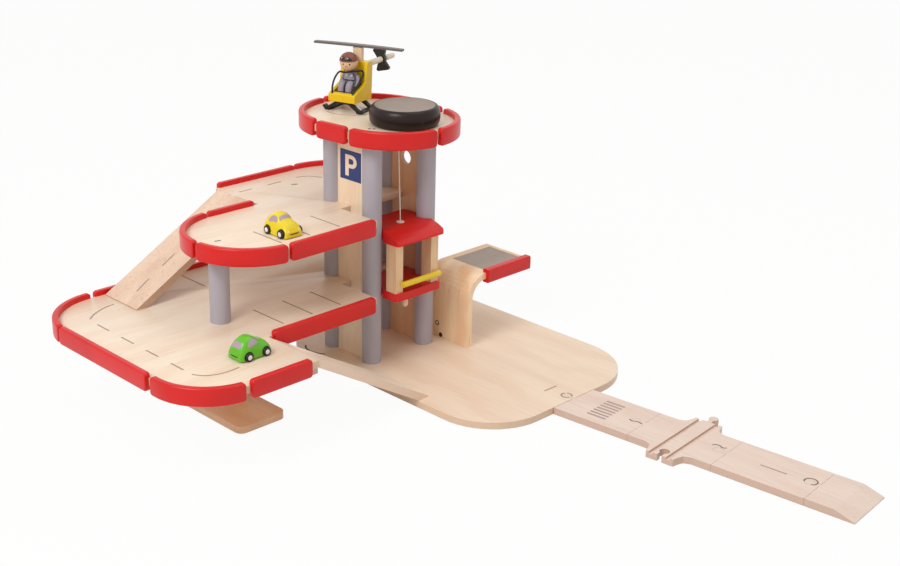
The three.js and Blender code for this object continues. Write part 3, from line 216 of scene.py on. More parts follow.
class Finish:
    """A material around one Principled shader."""

    def __init__(self, name):
        self.material = bpy.data.materials.new(name)
        self.material.use_nodes = True
        self.tree = self.material.node_tree
        self.shader = self.tree.nodes["Principled BSDF"]

    def node(self, kind, settings, inputs, out=0):
        made = self.tree.nodes.new(kind)
        for key, value in settings.items():
            setattr(made, key, value)
        for key, value in inputs.items():
            self.feed(made.inputs[key], value)
        return Wire(self, made.outputs[out])

    def feed(self, socket, value):
        if isinstance(value, Wire):
            self.tree.links.new(value.socket, socket)
        else:
            socket.default_value = value

    def set(self, **values):
        for key, value in values.items():
            self.feed(self.shader.inputs[key.replace("_", " ").title().replace("Ior", "IOR")], value)

    def mix(self, share, first, second):
        return self.node("ShaderNodeMix", {"data_type": "RGBA"}, {0: share, 6: first, 7: second}, out=2)

    def place(self):
        return self.node("ShaderNodeTexCoord", {}, {}, out=3)

    def axes(self, vector):
        split = self.tree.nodes.new("ShaderNodeSeparateXYZ")
        self.feed(split.inputs[0], vector)
        return [Wire(self, split.outputs[axis]) for axis in range(3)]

    def noise(self, vector, stretch, detail=3.0, roughness=0.55, offset=(0, 0, 0)):
        moved = self.node("ShaderNodeMapping", {}, {"Vector": vector, "Scale": stretch, "Location": offset})
        return self.node("ShaderNodeTexNoise", {}, {"Vector": moved, "Scale": 1.0, "Detail": detail,
                                                    "Roughness": roughness})

    def bump(self, height, distance, strength=1.0):
        return self.node("ShaderNodeBump", {}, {"Height": height, "Distance": distance, "Strength": strength})


def tint(red, green, blue):
    """A colour read as 0 to 255 on screen, as the shader wants it."""
    def linear(value):
        share = value / 255
        return share / 12.92 if share <= 0.04045 else ((share + 0.055) / 1.055) ** 2.4
    return (linear(red), linear(green), linear(blue), 1)


def darker(colour, share):
    return tuple(value * share for value in colour[:3]) + (1,)


# %% [markdown]
# The boards are pale birch plywood under a thin satin varnish. Its look has three scales: a broad, soft
# figure, a fine fibre along the grain, and the thin plies that show on a sawn edge. The first two are noise
# stretched along the grain. All are measured in metres, so they keep one scale over every board.

# %% Wood
BROAD_SCALE, BROAD_ALONG, FINE_SCALE, FINE_ALONG = 26.0, 3.2, 420.0, 16.0
PLY_THICK, PLY_SHADE, GLUE_SHADE = 0.00085, 0.8, 0.22


def timber(name, pale, deep, grain=1, figure=0.5, fibre=0.35, plies=True, offset=(0, 0, 0), painted_side_shade=0):
    """Wood with its grain along one axis; a side share paints shade onto the upright sides of boards without
    plies.
    """
    wood = Finish(name)
    place = wood.place()
    broad, fine = [BROAD_SCALE] * 3, [FINE_SCALE] * 3
    broad[grain], fine[grain] = BROAD_ALONG, FINE_ALONG
    warp = wood.noise(place, tuple(broad), 3, 0.5, offset)
    rings = wood.node("ShaderNodeTexWave", {"wave_type": "BANDS", "bands_direction": "X" if grain else "Y"},
                      {"Vector": place, "Scale": 5.5, "Distortion": 7.0, "Detail": 2.0, "Detail Scale": 0.9})
    fibres = wood.noise(place, tuple(fine), 4, 0.62, offset)
    share = (warp.step(0.35, 0.75) * 0.55 + rings.step(0.35, 1.0) * 0.45) * figure
    streak = fibres.step(0.5, 0.78) * fibre
    colour = wood.mix(share.most(0), pale, deep)
    colour = wood.mix(streak, colour, darker(deep, 0.72))
    height = fibres * 0.5 + warp * 0.2
    # Upright sides are darkened: on ply this is the darker tone of the sawn edge, on boards without plies it is
    # painted shade.
    if plies or painted_side_shade:
        normal = wood.axes(wood.node("ShaderNodeNewGeometry", {}, {}, out=1))
        side = 1 - normal[2].size().step(0.35, 0.75)
        colour = wood.mix(side * (painted_side_shade or PLY_SHADE), colour, darker(deep, 0.86))
    if plies:
        level = wood.axes(place)[2]
        ply = wood.node("ShaderNodeMath", {"operation": "PINGPONG"}, {0: level, 1: PLY_THICK})
        glue = (1 - (ply / PLY_THICK).step(0.05, 0.4)) * side
        colour = wood.mix(glue * GLUE_SHADE, colour, darker(deep, 0.5))
    wood.set(base_color=colour, roughness=fibres * 0.12 + 0.36, normal=wood.bump(height, 0.00012, 0.5))
    wood.set(coat_weight=0.18, coat_roughness=0.22, specular_ior_level=0.45)
    return wood.material


PLY = timber("birch_ply", tint(243, 226, 205), tint(229, 198, 168))
PLY_ACROSS = timber("birch_ply_across", tint(244, 223, 199), tint(231, 198, 168), grain=0,
                    offset=(0.3, 0.1, 0))
PANEL = timber("panel_ply", tint(247, 226, 199), tint(226, 188, 150), grain=2, figure=0.45, plies=False)
LEG = timber("bent_ply", tint(252, 224, 188), tint(228, 180, 132), grain=2, figure=1, fibre=0.55, plies=False)
# The road's upright sides get painted shade, darker than its top.
ROAD = timber("beech_road", tint(236, 216, 202), tint(222, 190, 172), grain=0, fibre=0.45, plies=False,
              painted_side_shade=0.95)
POST = timber("pine_post", tint(241, 210, 174), tint(221, 176, 130), grain=2, figure=0.7, plies=False)
RAMP = timber("ramp_ply", tint(234, 206, 182), tint(208, 170, 142), figure=0.7, fibre=0.7)
# The lower ramp gets a paler copy of the ramp wood as painted light, brightening the shade it lies in.
RAMP_PAINTED_LIGHT = timber("ramp_ply_painted_light", tint(255, 242, 222), tint(248, 216, 190), figure=0.6, fibre=0.6)
# The back panel inside the tower gets a darker, browner copy of the panel wood as painted shade.
BACK_PAINTED_SHADE = timber("back_ply_painted_shade", tint(230, 184, 142), tint(196, 144, 102), grain=2, figure=0.6, plies=False)
FOOT = timber("brown_foot", tint(250, 204, 166), tint(228, 172, 132), grain=0, figure=0.6, fibre=0.5,
              plies=False)

# %% [markdown]
# Painted wood has a body colour that is never quite even, and faint unevenness left by the wood below.
# Rails and the lift are gloss lacquer with a clear coat, while the pillars are a dry, matt grey-lilac.

# %% Paint and lacquer
def lacquer(name, colour, gloss=0.26, ripple=0.2, coat=0.12, shine=0.4):
    paint = Finish(name)
    place = paint.place()
    cloud = paint.noise(place, (18.0, 18.0, 18.0), 2, 0.5)
    grain = paint.noise(place, (260.0, 260.0, 60.0), 3, 0.5)
    paint.set(base_color=paint.mix(cloud.step(0.3, 0.8) * 0.5, colour, darker(colour, 0.8)))
    paint.set(roughness=cloud * 0.1 + gloss, normal=paint.bump(grain, 0.00006, ripple))
    paint.set(coat_weight=coat, coat_roughness=0.12, specular_ior_level=shine)
    return paint.material


def dry_paint(name, colour, rough=0.62, bump=0.4):
    paint = Finish(name)
    place = paint.place()
    cloud = paint.noise(place, (30.0, 30.0, 9.0), 3, 0.55)
    speck = paint.noise(place, (900.0, 900.0, 900.0), 2, 0.6)
    paint.set(base_color=paint.mix(cloud.step(0.3, 0.75) * 0.6, colour, darker(colour, 0.82)))
    paint.set(roughness=speck * 0.12 + rough - 0.06, normal=paint.bump(speck, 0.00005, bump))
    paint.set(specular_ior_level=0.4)
    return paint.material


RED = lacquer("red_lacquer", tint(214, 18, 14), gloss=0.3, shine=0.34)
YELLOW = lacquer("yellow_lacquer", tint(234, 196, 16), gloss=0.3)
BAR_YELLOW = lacquer("bar_yellow", tint(236, 205, 36), gloss=0.3)
PILLAR_GREY = dry_paint("pillar_grey", tint(178, 174, 184), 0.5)
BLACK = lacquer("black_gloss", tint(36, 24, 20), gloss=0.3, coat=0.06, shine=0.22)
DISC_TOP = dry_paint("disc_top", tint(152, 135, 123), 0.5)
ROTOR = lacquer("rotor_brown", tint(104, 92, 86), gloss=0.34, coat=0.1)
SKID_BLACK = lacquer("skid_black", tint(38, 33, 31), gloss=0.32, coat=0.08, shine=0.25)
CREAM = dry_paint("cream_boom", tint(232, 222, 200), 0.45)
CORD_WHITE = dry_paint("cord_white", tint(240, 236, 226), 0.7)
TYRE = dry_paint("tyre_black", tint(34, 30, 32), 0.5)
HUB = lacquer("hub_white", tint(244, 241, 240), gloss=0.3, coat=0.3)
INK = dry_paint("printed_line", tint(166, 146, 130), 0.6)
DASH = dry_paint("printed_dash", tint(120, 104, 94), 0.6)
ZEBRA_INK = dry_paint("zebra_ink", tint(182, 160, 152), 0.6)
SIGN_BLUE = lacquer("sign_blue", tint(46, 64, 122), gloss=0.4, coat=0.05, shine=0.3)
SIGN_LETTER = dry_paint("sign_letter", tint(242, 218, 196), 0.5)
# Painted shade: a dark colour drawn where holes and a gap lie in shadow.
PAINTED_HOLE_SHADE = dry_paint("painted_hole_shade", tint(52, 38, 34), 0.7)
DOWEL = dry_paint("dowel_end", tint(228, 196, 158), 0.6)
WASHER = dry_paint("washer", tint(246, 226, 214), 0.5)

# %% [markdown]
# A CAD piece whose shape is right stays and only gets a finish. Its faces are shaded smooth up to an
# angle, and a bevel rounds the sawn edges by the fraction of a millimetre that sandpaper leaves, because
# a perfectly sharp edge catches no light.

# %% Dress the CAD pieces
SAND, SAND_ANGLE = 0.7, 34


def add_bevel(target, name, edge, angle, segments=2):
    bevel = target.modifiers.new(name, "BEVEL")
    bevel.width, bevel.segments = edge * MM, segments
    bevel.limit_method, bevel.angle_limit = "ANGLE", math.radians(angle)
    bevel.harden_normals = True


def dress(node, material, edge=SAND, angle=SAND_ANGLE, segments=2):
    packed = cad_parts[node]
    packed.data.materials.clear()
    packed.data.materials.append(material)
    packed.data.shade_smooth()
    packed.data.set_sharp_from_angle(angle=math.radians(angle))
    if edge:
        add_bevel(packed, "sanded_edge", edge, angle, segments)


DRESSES = [
    (PILLAR_GREY, 0.5, "pillar_left pillar_front pillar_right pillar_rear upper_pillar"),
    (PLY, SAND, "upper_deck lower_deck top_deck"), (PLY_ACROSS, SAND, "base_plate"), (RAMP, SAND, "long_ramp"),
    (RAMP_PAINTED_LIGHT, SAND, "lower_ramp"), (FOOT, SAND, "foot_stand"), (LEG, SAND, "station_canopy"),
    (PANEL, 0.4, "sign_panel"), (BACK_PAINTED_SHADE, 0.4, "back_panel"), (POST, 0.8, "lift_post_front lift_post_right"),
    (ROAD, 0.6, "road_zebra road_rail_crossing road_straight road_end_ramp"), (BAR_YELLOW, 0.8, "gate_bar"),
    (CREAM, 0.4, "heli_tail_boom"), (SKID_BLACK, 0.5, "heli_tail_rotor"), (SKID_BLACK, 0.4, "heli_skids"),
    (SKID_BLACK, 0, "heli_hoop")]
for material, edge, names in DRESSES:
    for name in names.split():
        dress(name, material, edge)
for name in ("station_fascia", "lift_floor", "lift_roof"):
    dress(name, RED, edge=1.2, angle=30, segments=3)
dress("heli_seat", YELLOW, edge=0.8, segments=3)
print("dressed", len(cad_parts), "nodes")

# %% [markdown]
# Pieces with soft or curved forms are made here. Every one of them is a mesh built from rings of points
# in millimetres. It rides one body of the model by name, and takes the place of the CAD piece that it
# refines, where there is one.

# %% Mesh helpers
PATH_STEPS = 400


def solid_mesh(name, points, faces):
    """A mesh from points in millimetres, with its faces turned outward."""
    mesh = bpy.data.meshes.new(name)
    mesh.from_pydata([(x * MM, y * MM, z * MM) for x, y, z in points], [], faces)
    work = bmesh.new()
    work.from_mesh(mesh)
    bmesh.ops.recalc_face_normals(work, faces=work.faces)
    work.to_mesh(mesh)
    work.free()
    return mesh


def piece(name, points, faces, material, body, angle=40, edge=0, replaces=(), materials=None, picks=None):
    mesh = solid_mesh(name, points, faces)
    for finish in materials or [material]:
        mesh.materials.append(finish)
    for face, pick in zip(mesh.polygons, picks or []):
        face.material_index = pick
    mesh.shade_smooth()
    mesh.set_sharp_from_angle(angle=math.radians(angle))
    made = bpy.data.objects.new(name, mesh)
    scene.collection.objects.link(made)
    if edge:
        add_bevel(made, "soft_edge", edge, angle)
    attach(made, body)
    if replaces:
        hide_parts(*replaces)
    return made


def box(low, high):
    corners = [(x, y, z) for x in (low[0], high[0]) for y in (low[1], high[1]) for z in (low[2], high[2])]
    return corners, [(0, 1, 3, 2), (4, 6, 7, 5), (0, 4, 5, 1), (2, 3, 7, 6), (0, 2, 6, 4), (1, 5, 7, 3)]


def cut_away(target, mesh):
    """Subtract a closed mesh from an object for good, and drop the cutter again."""
    cutter = bpy.data.objects.new("cutter", mesh)
    scene.collection.objects.link(cutter)
    cut = target.modifiers.new("cut", "BOOLEAN")
    cut.operation, cut.object, cut.solver = "DIFFERENCE", cutter, "EXACT"
    bpy.context.view_layer.update()
    shown = target.evaluated_get(bpy.context.evaluated_depsgraph_get())
    target.data = bpy.data.meshes.new_from_object(shown)
    target.modifiers.clear()
    bpy.data.objects.remove(cutter)


def turned(x, y, turn, centre=(0, 0)):
    """A point turned round the origin, then moved with the origin to a centre."""
    return (centre[0] + x * math.cos(turn) - y * math.sin(turn),
            centre[1] + x * math.sin(turn) + y * math.cos(turn))


def circle(radius, steps, centre=(0, 0)):
    return [turned(radius, 0, 2 * math.pi * step / steps, centre) for step in range(steps)]


def arc(centre, radius, first, last, steps=PATH_STEPS):
    return [turned(radius, 0, math.radians(first + (last - first) * step / steps), centre)
            for step in range(steps + 1)]


def loft(rings, closed=True, caps=True):
    points = [point for ring in rings for point in ring]
    count, faces = len(rings[0]), []
    spans = count if closed else count - 1
    for row in range(len(rings) - 1):
        for spot in range(spans):
            after = (spot + 1) % count
            faces.append((row * count + spot, row * count + after, (row + 1) * count + after,
                          (row + 1) * count + spot))
    if caps:
        faces.append(tuple(range(count))[::-1])
        faces.append(tuple(range((len(rings) - 1) * count, len(rings) * count)))
    return points, faces


def turn_profile(profile, centre=(0, 0), steps=72):
    return loft([[(*spot, height) for spot in circle(radius, steps, centre)] for radius, height in profile])


def tube(path, radius, steps=12, taper=None):
    rings, across = [], Vector((0, 0, 1))
    for spot, point in enumerate(path):
        before, after = path[max(spot - 1, 0)], path[min(spot + 1, len(path) - 1)]
        along = (Vector(after) - Vector(before)).normalized()
        side = along.cross(across)
        side = side.normalized() if side.length > 0.05 else Vector((1, 0, 0))
        lift = side.cross(along).normalized()
        size = radius * (taper[spot] if taper else 1)
        rings.append([tuple(Vector(point) + x * side + y * lift) for x, y in circle(size, steps)])
    return loft(rings)


def smooth_path(points, per_span=8):
    path, count = [], len(points)
    for spot in range(count - 1):
        four = [Vector(points[min(max(spot + shift, 0), count - 1)]) for shift in (-1, 0, 1, 2)]
        for step in range(per_span):
            t = step / per_span
            path.append(tuple(0.5 * ((2 * four[1]) + (four[2] - four[0]) * t
                        + (2 * four[0] - 5 * four[1] + 4 * four[2] - four[3]) * t * t
                        + (3 * four[1] - four[0] - 3 * four[2] + four[3]) * t ** 3)))
    return path + [tuple(points[-1])]


def merged(*parts):
    points, faces = [], []
    for some_points, some_faces in parts:
        start = len(points)
        points += list(some_points)
        faces += [tuple(spot + start for spot in face) for face in some_faces]
    return points, faces


# %% [markdown]
# The red edge rails are boards with softly rounded edges and ends, bent round the decks. Each one is swept
# along its stretch of deck edge, run anticlockwise so that outward is always on the right. Near an end the
# section shrinks along a quarter circle, which rounds the corners of the face.

# %% Edge rails
RAIL_DEPTH, RAIL_OUT, RAIL_IN = 12.5, 6, 2.5
END_ROUND, FACE_ROUND, BACK_ROUND, EDGE_ROUND = 4.6, 1.6, 1.4, 2.6
DECK_HALF = 5
CLOSE_STEP, WIDE_STEP, CLOSE_REACH = 0.45, 4, END_ROUND + 0.5


def line_stretch(start, end):
    return [tuple(a + (b - a) * spot / PATH_STEPS for a, b in zip(start, end))
            for spot in range(PATH_STEPS + 1)]


def rail_stations(points):
    """Thin a dense path to close steps near both ends and to wide ones between them."""
    reach = [0]
    for before, after in zip(points, points[1:]):
        reach.append(reach[-1] + math.dist(before, after))
    total, kept, last = reach[-1], [], -9
    for spot, here in enumerate(reach):
        near = min(here, total - here)
        step = CLOSE_STEP if near < CLOSE_REACH else WIDE_STEP
        if here - last >= step or spot in (0, len(reach) - 1):
            before, after = points[max(spot - 1, 0)], points[min(spot + 1, len(points) - 1)]
            along = Vector((after[0] - before[0], after[1] - before[1])).normalized()
            kept.append((points[spot], (along[1], -along[0]), near))
            last = here
    return kept


def rounded_off(radius, near):
    """How far a quarter circle of this radius takes the section back, so near to the end."""
    return radius - math.sqrt(max(0, radius ** 2 - max(0, radius - near) ** 2))


def rail_section(near):
    thinned = rounded_off(FACE_ROUND, near)
    half = RAIL_DEPTH - rounded_off(END_ROUND, near)
    outer, inner = RAIL_OUT - thinned, -RAIL_IN + thinned
    section = []
    for across, rise, radius, start in ((outer, half, EDGE_ROUND, 90), (outer, -half, EDGE_ROUND, 0),
                                        (inner, -half, BACK_ROUND, -90), (inner, half, BACK_ROUND, -180)):
        radius = min(radius, (outer - inner) / 2 - 0.2)
        mid = (across - math.copysign(radius, across), rise - math.copysign(radius, rise))
        for step in range(5):
            turn = math.radians(start - 22.5 * step)
            section.append((mid[0] + radius * math.cos(turn), mid[1] + radius * math.sin(turn)))
    return section


def rail(node, top, *stretches):
    points = [point for stretch in stretches for point in stretch]
    points = [here for before, here in zip([None] + points, points)
              if not before or math.dist(here, before) > 1e-6]
    rings = []
    for (x, y), outward, near in rail_stations(points):
        rings.append([(x + outward[0] * across, y + outward[1] * across, top - DECK_HALF + rise)
                      for across, rise in rail_section(near)])
    piece(node + "_board", *loft(rings), RED, "garage", 50, replaces=(node,))


def straight_rail(node, top, outward, first=0, last=0):
    """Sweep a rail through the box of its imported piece; first and last move its two ends along the way."""
    low, high = node_box(node)
    start, end = (low, high) if outward > 0 else (high, low)
    x = end[0] - outward * RAIL_OUT
    rail(node, top, line_stretch((x, start[1] + first), (x, end[1] + last)))


straight_rail("upper_rail_back", UPPER_TOP, -1, last=-2)
straight_rail("upper_rail_inner", UPPER_TOP, -1, first=5, last=-5)
straight_rail("upper_rail_front", UPPER_TOP, 1, first=-1.5)
straight_rail("lower_rail_back", LOWER_TOP, -1)
straight_rail("lower_rail_front", LOWER_TOP, 1, first=5)
straight_rail("lower_rail_shaft", LOWER_TOP, 1)
SIDE_X, LEFT_Y = -194, -464
rail("lower_rail_left", LOWER_TOP, line_stretch((-116, LEFT_Y), (85, LEFT_Y)))
ROUND_END, LOBE = ((-92, 0), 102), ((-6, -233), 88)
LEFT_CORNER, FRONT_CORNER = ((-107, -377), 87), ((105, -385), 79)
rail("upper_rail_back_curve", UPPER_TOP, arc(*ROUND_END, 120, 178.7))
rail("upper_rail_left_curve", UPPER_TOP, arc(*LOBE, 185.4, 269.5))
rail("upper_rail_front_curve", UPPER_TOP, arc(*LOBE, 273, 355))
rail("lower_rail_back_curve", LOWER_TOP, arc(*ROUND_END, 120, 180),
     line_stretch((SIDE_X, 0), (SIDE_X, -161)))
rail("lower_rail_left_curve", LOWER_TOP, line_stretch((SIDE_X, -373), (SIDE_X, -377)),
     arc(*LEFT_CORNER, 180, 262))
rail("lower_rail_front_curve", LOWER_TOP, line_stretch((94.5, LEFT_Y), (105, LEFT_Y)),
     arc(*FRONT_CORNER, 270, 354.5))
TOP_LEFT, TOP_RIGHT = ((-30, 0), 93), ((29.5, 0), 87.5)
TANGENT = math.degrees(math.acos((TOP_LEFT[1] - TOP_RIGHT[1]) / (TOP_RIGHT[0][0] - TOP_LEFT[0][0])))


def top_side(first, last, side):
    """A share of the straight side between the two circles of the top deck, from the left circle's end."""
    turn = math.radians(TANGENT)
    left, right = [(centre[0] + radius * math.cos(turn), side * radius * math.sin(turn))
                   for centre, radius in (TOP_LEFT, TOP_RIGHT)]
    return line_stretch(*[tuple(a + (b - a) * share for a, b in zip(left, right)) for share in (first, last)])


rail("top_rail_right_curve", ROOF_TOP, arc(*TOP_RIGHT, 0.4, 81.5))
rail("top_rail_back", ROOF_TOP, top_side(0.92, 0.06, 1))
rail("top_rail_back_curve", ROOF_TOP, arc(*TOP_LEFT, 87.9, 178.3))
rail("top_rail_left_curve", ROOF_TOP, arc(TOP_LEFT[0], 90.5, 181.7, 267.5))
rail("top_rail_front", ROOF_TOP, arc(*TOP_LEFT, 273, 360 - TANGENT), top_side(0, 0.86, -1))
rail("top_rail_front_curve", ROOF_TOP, top_side(0.985, 1, -1), arc(*TOP_RIGHT, -TANGENT, -3.7))
print("rails swept", sum("_rail_" in name and not name.startswith("road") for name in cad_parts))

# %% [markdown]
# The two big decks end in a small square corner beside the lift, past the last rail. The toy's decks have
# it sawn off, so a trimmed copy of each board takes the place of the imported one.

# %% Trimmed decks
for name, level in (("upper_deck", UPPER_TOP), ("lower_deck", LOWER_TOP)):
    board = bpy.data.objects.new(name + "_board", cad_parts[name].data.copy())
    board.matrix_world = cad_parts[name].matrix_world.copy()
    scene.collection.objects.link(board)
    cut_away(board, solid_mesh("box", *box((76, -87, level - 20), (95, -70, level + 10))))
    add_bevel(board, "sanded_edge", SAND, SAND_ANGLE)
    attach(board, "garage")
    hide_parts(name)
print("decks trimmed")

# %% [markdown]
# The winch disc is turned from dark wood: a worn, dull top face, a rolled black rim and an undercut over
# the drum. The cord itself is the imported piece.

# %% Winch disc
low, high = node_box("winch_disc")
disc_centre = ((low[0] + high[0]) / 2, (low[1] + high[1]) / 2)
disc_radius = (high[0] - low[0]) / 2
disc_low, disc_high = ROOF_TOP + 0.4, high[2]
UNDERCUT, BELLY, ROLL_IN = 7, 14, 6.5
rim = [(disc_radius - UNDERCUT, disc_low)]
rim += [(disc_radius - UNDERCUT * (1 - math.sin(turn)) ** 1.4, disc_low + BELLY * (1 - math.cos(turn)))
        for turn in map(math.radians, range(15, 91, 15))]
rim += [(disc_radius - ROLL_IN * (1 - math.cos(turn)),
         disc_low + BELLY + (disc_high - disc_low - BELLY) * math.sin(turn))
        for turn in map(math.radians, range(10, 91, 10))]
rim += [(disc_radius - 7.6, disc_high - 0.1), (disc_radius - 10, disc_high - 1.1), (22, disc_high - 2.0),
        (6, disc_high - 2.4), (5.4, disc_high - 2.4)]
DISC_STEPS, SIDE_ROWS = 96, 16
points, faces = turn_profile(rim, disc_centre, DISC_STEPS)
picks = [int(spot >= DISC_STEPS * SIDE_ROWS) for spot in range(len(faces))]
piece("winch_disc_turned", points, faces, BLACK, "winch", 60, materials=[BLACK, DISC_TOP], picks=picks,
      replaces=("winch_disc",))
drum = [(5, ROOF_TOP - 10), (5, disc_low), (9, disc_low), (9, disc_low + 12)]
piece("winch_drum", *turn_profile(drum, disc_centre, 48), PANEL, "winch", 30)
dress("lift_cord", CORD_WHITE, edge=0, angle=180)
print("winch disc", [round(value, 1) for value in (*disc_centre, disc_radius, disc_low, disc_high)])

# %% [markdown]
# Both toy cars share one body: a low rounded bonnet, a high dome over the cabin and rear, and arches for
# four wheels that stand a little proud of the sides. The body is a loft of rounded cross-sections along
# the car. The windows are the same surface, lifted by a hair and painted lilac.

# %% Toy cars
LILAC = lacquer("window_lilac", tint(178, 156, 168), gloss=0.34, coat=0.15)
GREEN = lacquer("green_lacquer", tint(98, 190, 26), gloss=0.26, coat=0.2)
CAR_YELLOW = lacquer("car_yellow", tint(240, 216, 26), gloss=0.26, coat=0.2)
BUMPER = dry_paint("bumper_line", tint(60, 52, 20), 0.5)
HEADLIGHT = lacquer("headlight", tint(250, 236, 160), gloss=0.3)
CAR_RISE, ARCH_GAP = 1.08, 0.9
ROOF_LINE = [(-1.0, 0.30), (-0.93, 0.52), (-0.82, 0.70), (-0.62, 0.88), (-0.38, 0.98), (-0.16, 1.0),
             (0.04, 0.94), (0.2, 0.82), (0.32, 0.735), (0.44, 0.70), (0.6, 0.665), (0.76, 0.59), (0.9, 0.45),
             (1.0, 0.28)]


def curve_at(line, where):
    for (start, low_value), (end, high_value) in zip(line, line[1:]):
        if where <= end:
            share = (where - start) / (end - start)
            share = share * share * (3 - 2 * share) * 0.35 + share * 0.65
            return low_value + (high_value - low_value) * share
    return line[-1][1]


class Car:
    def __init__(self, name, turn):
        self.name = name
        low, high = node_box(name + "_body")
        self.turn = math.radians(turn)
        self.centre = ((low[0] + high[0]) / 2, (low[1] + high[1]) / 2)
        sizes = (high[0] - low[0], high[1] - low[1])
        self.half_length = max(sizes) / 2
        self.half_width = min(sizes) / 2
        self.floor, self.height = low[2], high[2] - low[2]
        self.axles = {end: self.local(node_box(name + "_wheels_" + end)) for end in ("front", "rear")}

    def local(self, packed):
        low, high = packed
        middle = [(low[axis] + high[axis]) / 2 for axis in range(3)]
        along, _ = turned(middle[0] - self.centre[0], middle[1] - self.centre[1], -self.turn)
        width = max(high[0] - low[0], high[1] - low[1]) / 2
        return along, middle[2] - self.floor, (high[2] - low[2]) / 2, width

    def world(self, point):
        x, y, z = point
        return (*turned(x, y, self.turn, self.centre), z + self.floor)

    def surface(self, along, angle, grow=0):
        """A point of the body skin: along runs -1 to 1, angle 0 to pi from side to side over the roof."""
        along = max(-1, min(1, along))
        end = math.sqrt(max(0, 1 - abs(along) ** 5)) * 0.22 + 0.78
        top = curve_at(ROOF_LINE, along) * self.height * CAR_RISE
        wide = self.half_width * end
        lean = 1 - 0.26 * math.sin(angle) ** 2 * max(0, top / self.height - 0.45)
        across = math.copysign(abs(math.cos(angle)) ** 0.62, math.cos(angle)) * wide * lean
        rise = top * math.sin(angle) ** 0.72
        return (along * self.half_length * (1 + grow / 60), across * (1 + grow / 20), rise + grow * 0.6)

    def body(self, paint):
        rows, columns = 60, 44
        rings = [[self.world(self.surface(-math.cos(math.pi * row / rows), math.pi * spot / columns))
                  for spot in range(columns + 1)] for row in range(rows + 1)]
        shell = piece(self.name + "_shell", *loft(rings), paint, self.name, 50,
                      replaces=(self.name + "_body",))
        for along, height, radius, _ in self.axles.values():
            for side in (-1, 1):
                arch = [[self.world((along + x, side * across, height + z))
                         for x, z in circle(radius + ARCH_GAP, 40)]
                        for across in (self.half_width - 7.5, self.half_width + 9)]
                cut_away(shell, solid_mesh("arch_cutter", *loft(arch)))
        shell.data.shade_smooth()
        shell.data.set_sharp_from_angle(angle=math.radians(40))

    def patch(self, label, outline, paint, grow=0.35, fill=10):
        """A painted shape on the skin, given as rows of (along, angle from, angle to)."""
        rings = [[self.world(self.surface(along, math.radians(start + (end - start) * spot / fill), grow))
                  for spot in range(fill + 1)] for along, start, end in outline]
        piece(self.name + "_" + label, *loft(rings, closed=False, caps=False), paint, self.name, 60)

    def windows(self):
        crescent = [(-0.52, 33, 36), (-0.46, 30, 44), (-0.36, 28, 52), (-0.22, 30, 58), (-0.08, 33, 60),
                    (0.06, 36, 58), (0.13, 40, 52)]
        self.patch("side_window_a", crescent, LILAC)
        self.patch("side_window_b", [(along, 180 - start, 180 - end) for along, start, end in crescent], LILAC)
        screen = [(0.1, 84, 96), (0.115, 66, 114), (0.15, 62, 118), (0.2, 60, 120), (0.25, 60, 120),
                  (0.285, 63, 117)]
        self.patch("windscreen", screen, LILAC)
        rear = [(-0.905, 70, 110), (-0.885, 64, 116), (-0.84, 62, 118), (-0.78, 62, 118), (-0.73, 64, 116),
                (-0.715, 70, 110)]
        self.patch("rear_window", rear, LILAC)

    def bumpers(self):
        for label, side in (("front", 1), ("rear", -1)):
            path = [self.world((side * (self.half_length + 0.1 - 2.6 * abs(spot / 7) ** 4),
                                spot / 7 * self.half_width * 0.66, self.height * 0.17))
                    for spot in range(-7, 8)]
            piece(f"{self.name}_{label}_bumper", *tube(path, 0.75, 8), BUMPER, self.name, 60)

    def lamps(self):
        for side in (-1, 1):
            centre = Vector((self.half_length * 0.94, side * self.half_width * 0.56, self.height * 0.3))
            rings = [[self.world(centre + Vector((math.sin(turn) * 1.2, y, z)))
                      for y, z in circle(math.cos(turn) * 2.1, 16)]
                     for turn in map(math.radians, range(0, 91, 15))]
            piece(f"{self.name}_headlight_{'ab'[side > 0]}", *loft(rings), HEADLIGHT, self.name, 60)

    def wheels(self):
        for end, (along, height, radius, width) in self.axles.items():
            body = self.name.replace("_car", "") + "_" + end + "_axle"

            def ring(size, across, steps=36):
                return [self.world((along + x, across, height + z)) for x, z in circle(size, steps)]

            hollow = [(0.6, 0.55), (3.3, 0.5), (3.6, 0.2)]
            tread = [(radius - 1.5, 0), (radius - 0.5, 0.35), (radius, 1.3), (radius, 4.7), (radius - 0.6, 5.7),
                     (radius - 1.6, 6)]
            cap = [(3.3, 0.7), (3.3, 0.15), (2.9, -0.1), (1.2, -0.25), (0.4, -0.25)]
            tyres, hubs = [[loft([ring(size, side * (width - depth)) for size, depth in profile])
                            for side in (-1, 1)] for profile in (hollow + tread, cap)]
            piece(f"{self.name}_{end}_tyres", *merged(*tyres), TYRE, body, 45,
                  replaces=(self.name + "_wheels_" + end,))
            piece(f"{self.name}_{end}_hubs", *merged(*hubs), HUB, body, 45)
            axle = loft([ring(1.2, side * (width - 5.5), 12) for side in (-1, 1)])
            piece(f"{self.name}_{end}_axle_wire", *axle, HUB, body, 45)

    def build(self, paint):
        self.body(paint)
        self.windows()
        self.bumpers()
        self.lamps()
        self.wheels()
        print(self.name, "length", round(2 * self.half_length, 1), "width", round(2 * self.half_width, 1))


Car("green_car", 90).build(GREEN)
Car("yellow_car", 0).build(CAR_YELLOW)

# %% [markdown]
# The helicopter stands at an angle on the top deck. Its pieces are drawn in the toy's own frame, with the
# pilot facing along minus Y, and then turned and placed. The pilot is a peg figure with a painted cap,
# dark goggles with a pale painted highlight on each lens, and a very simple face.

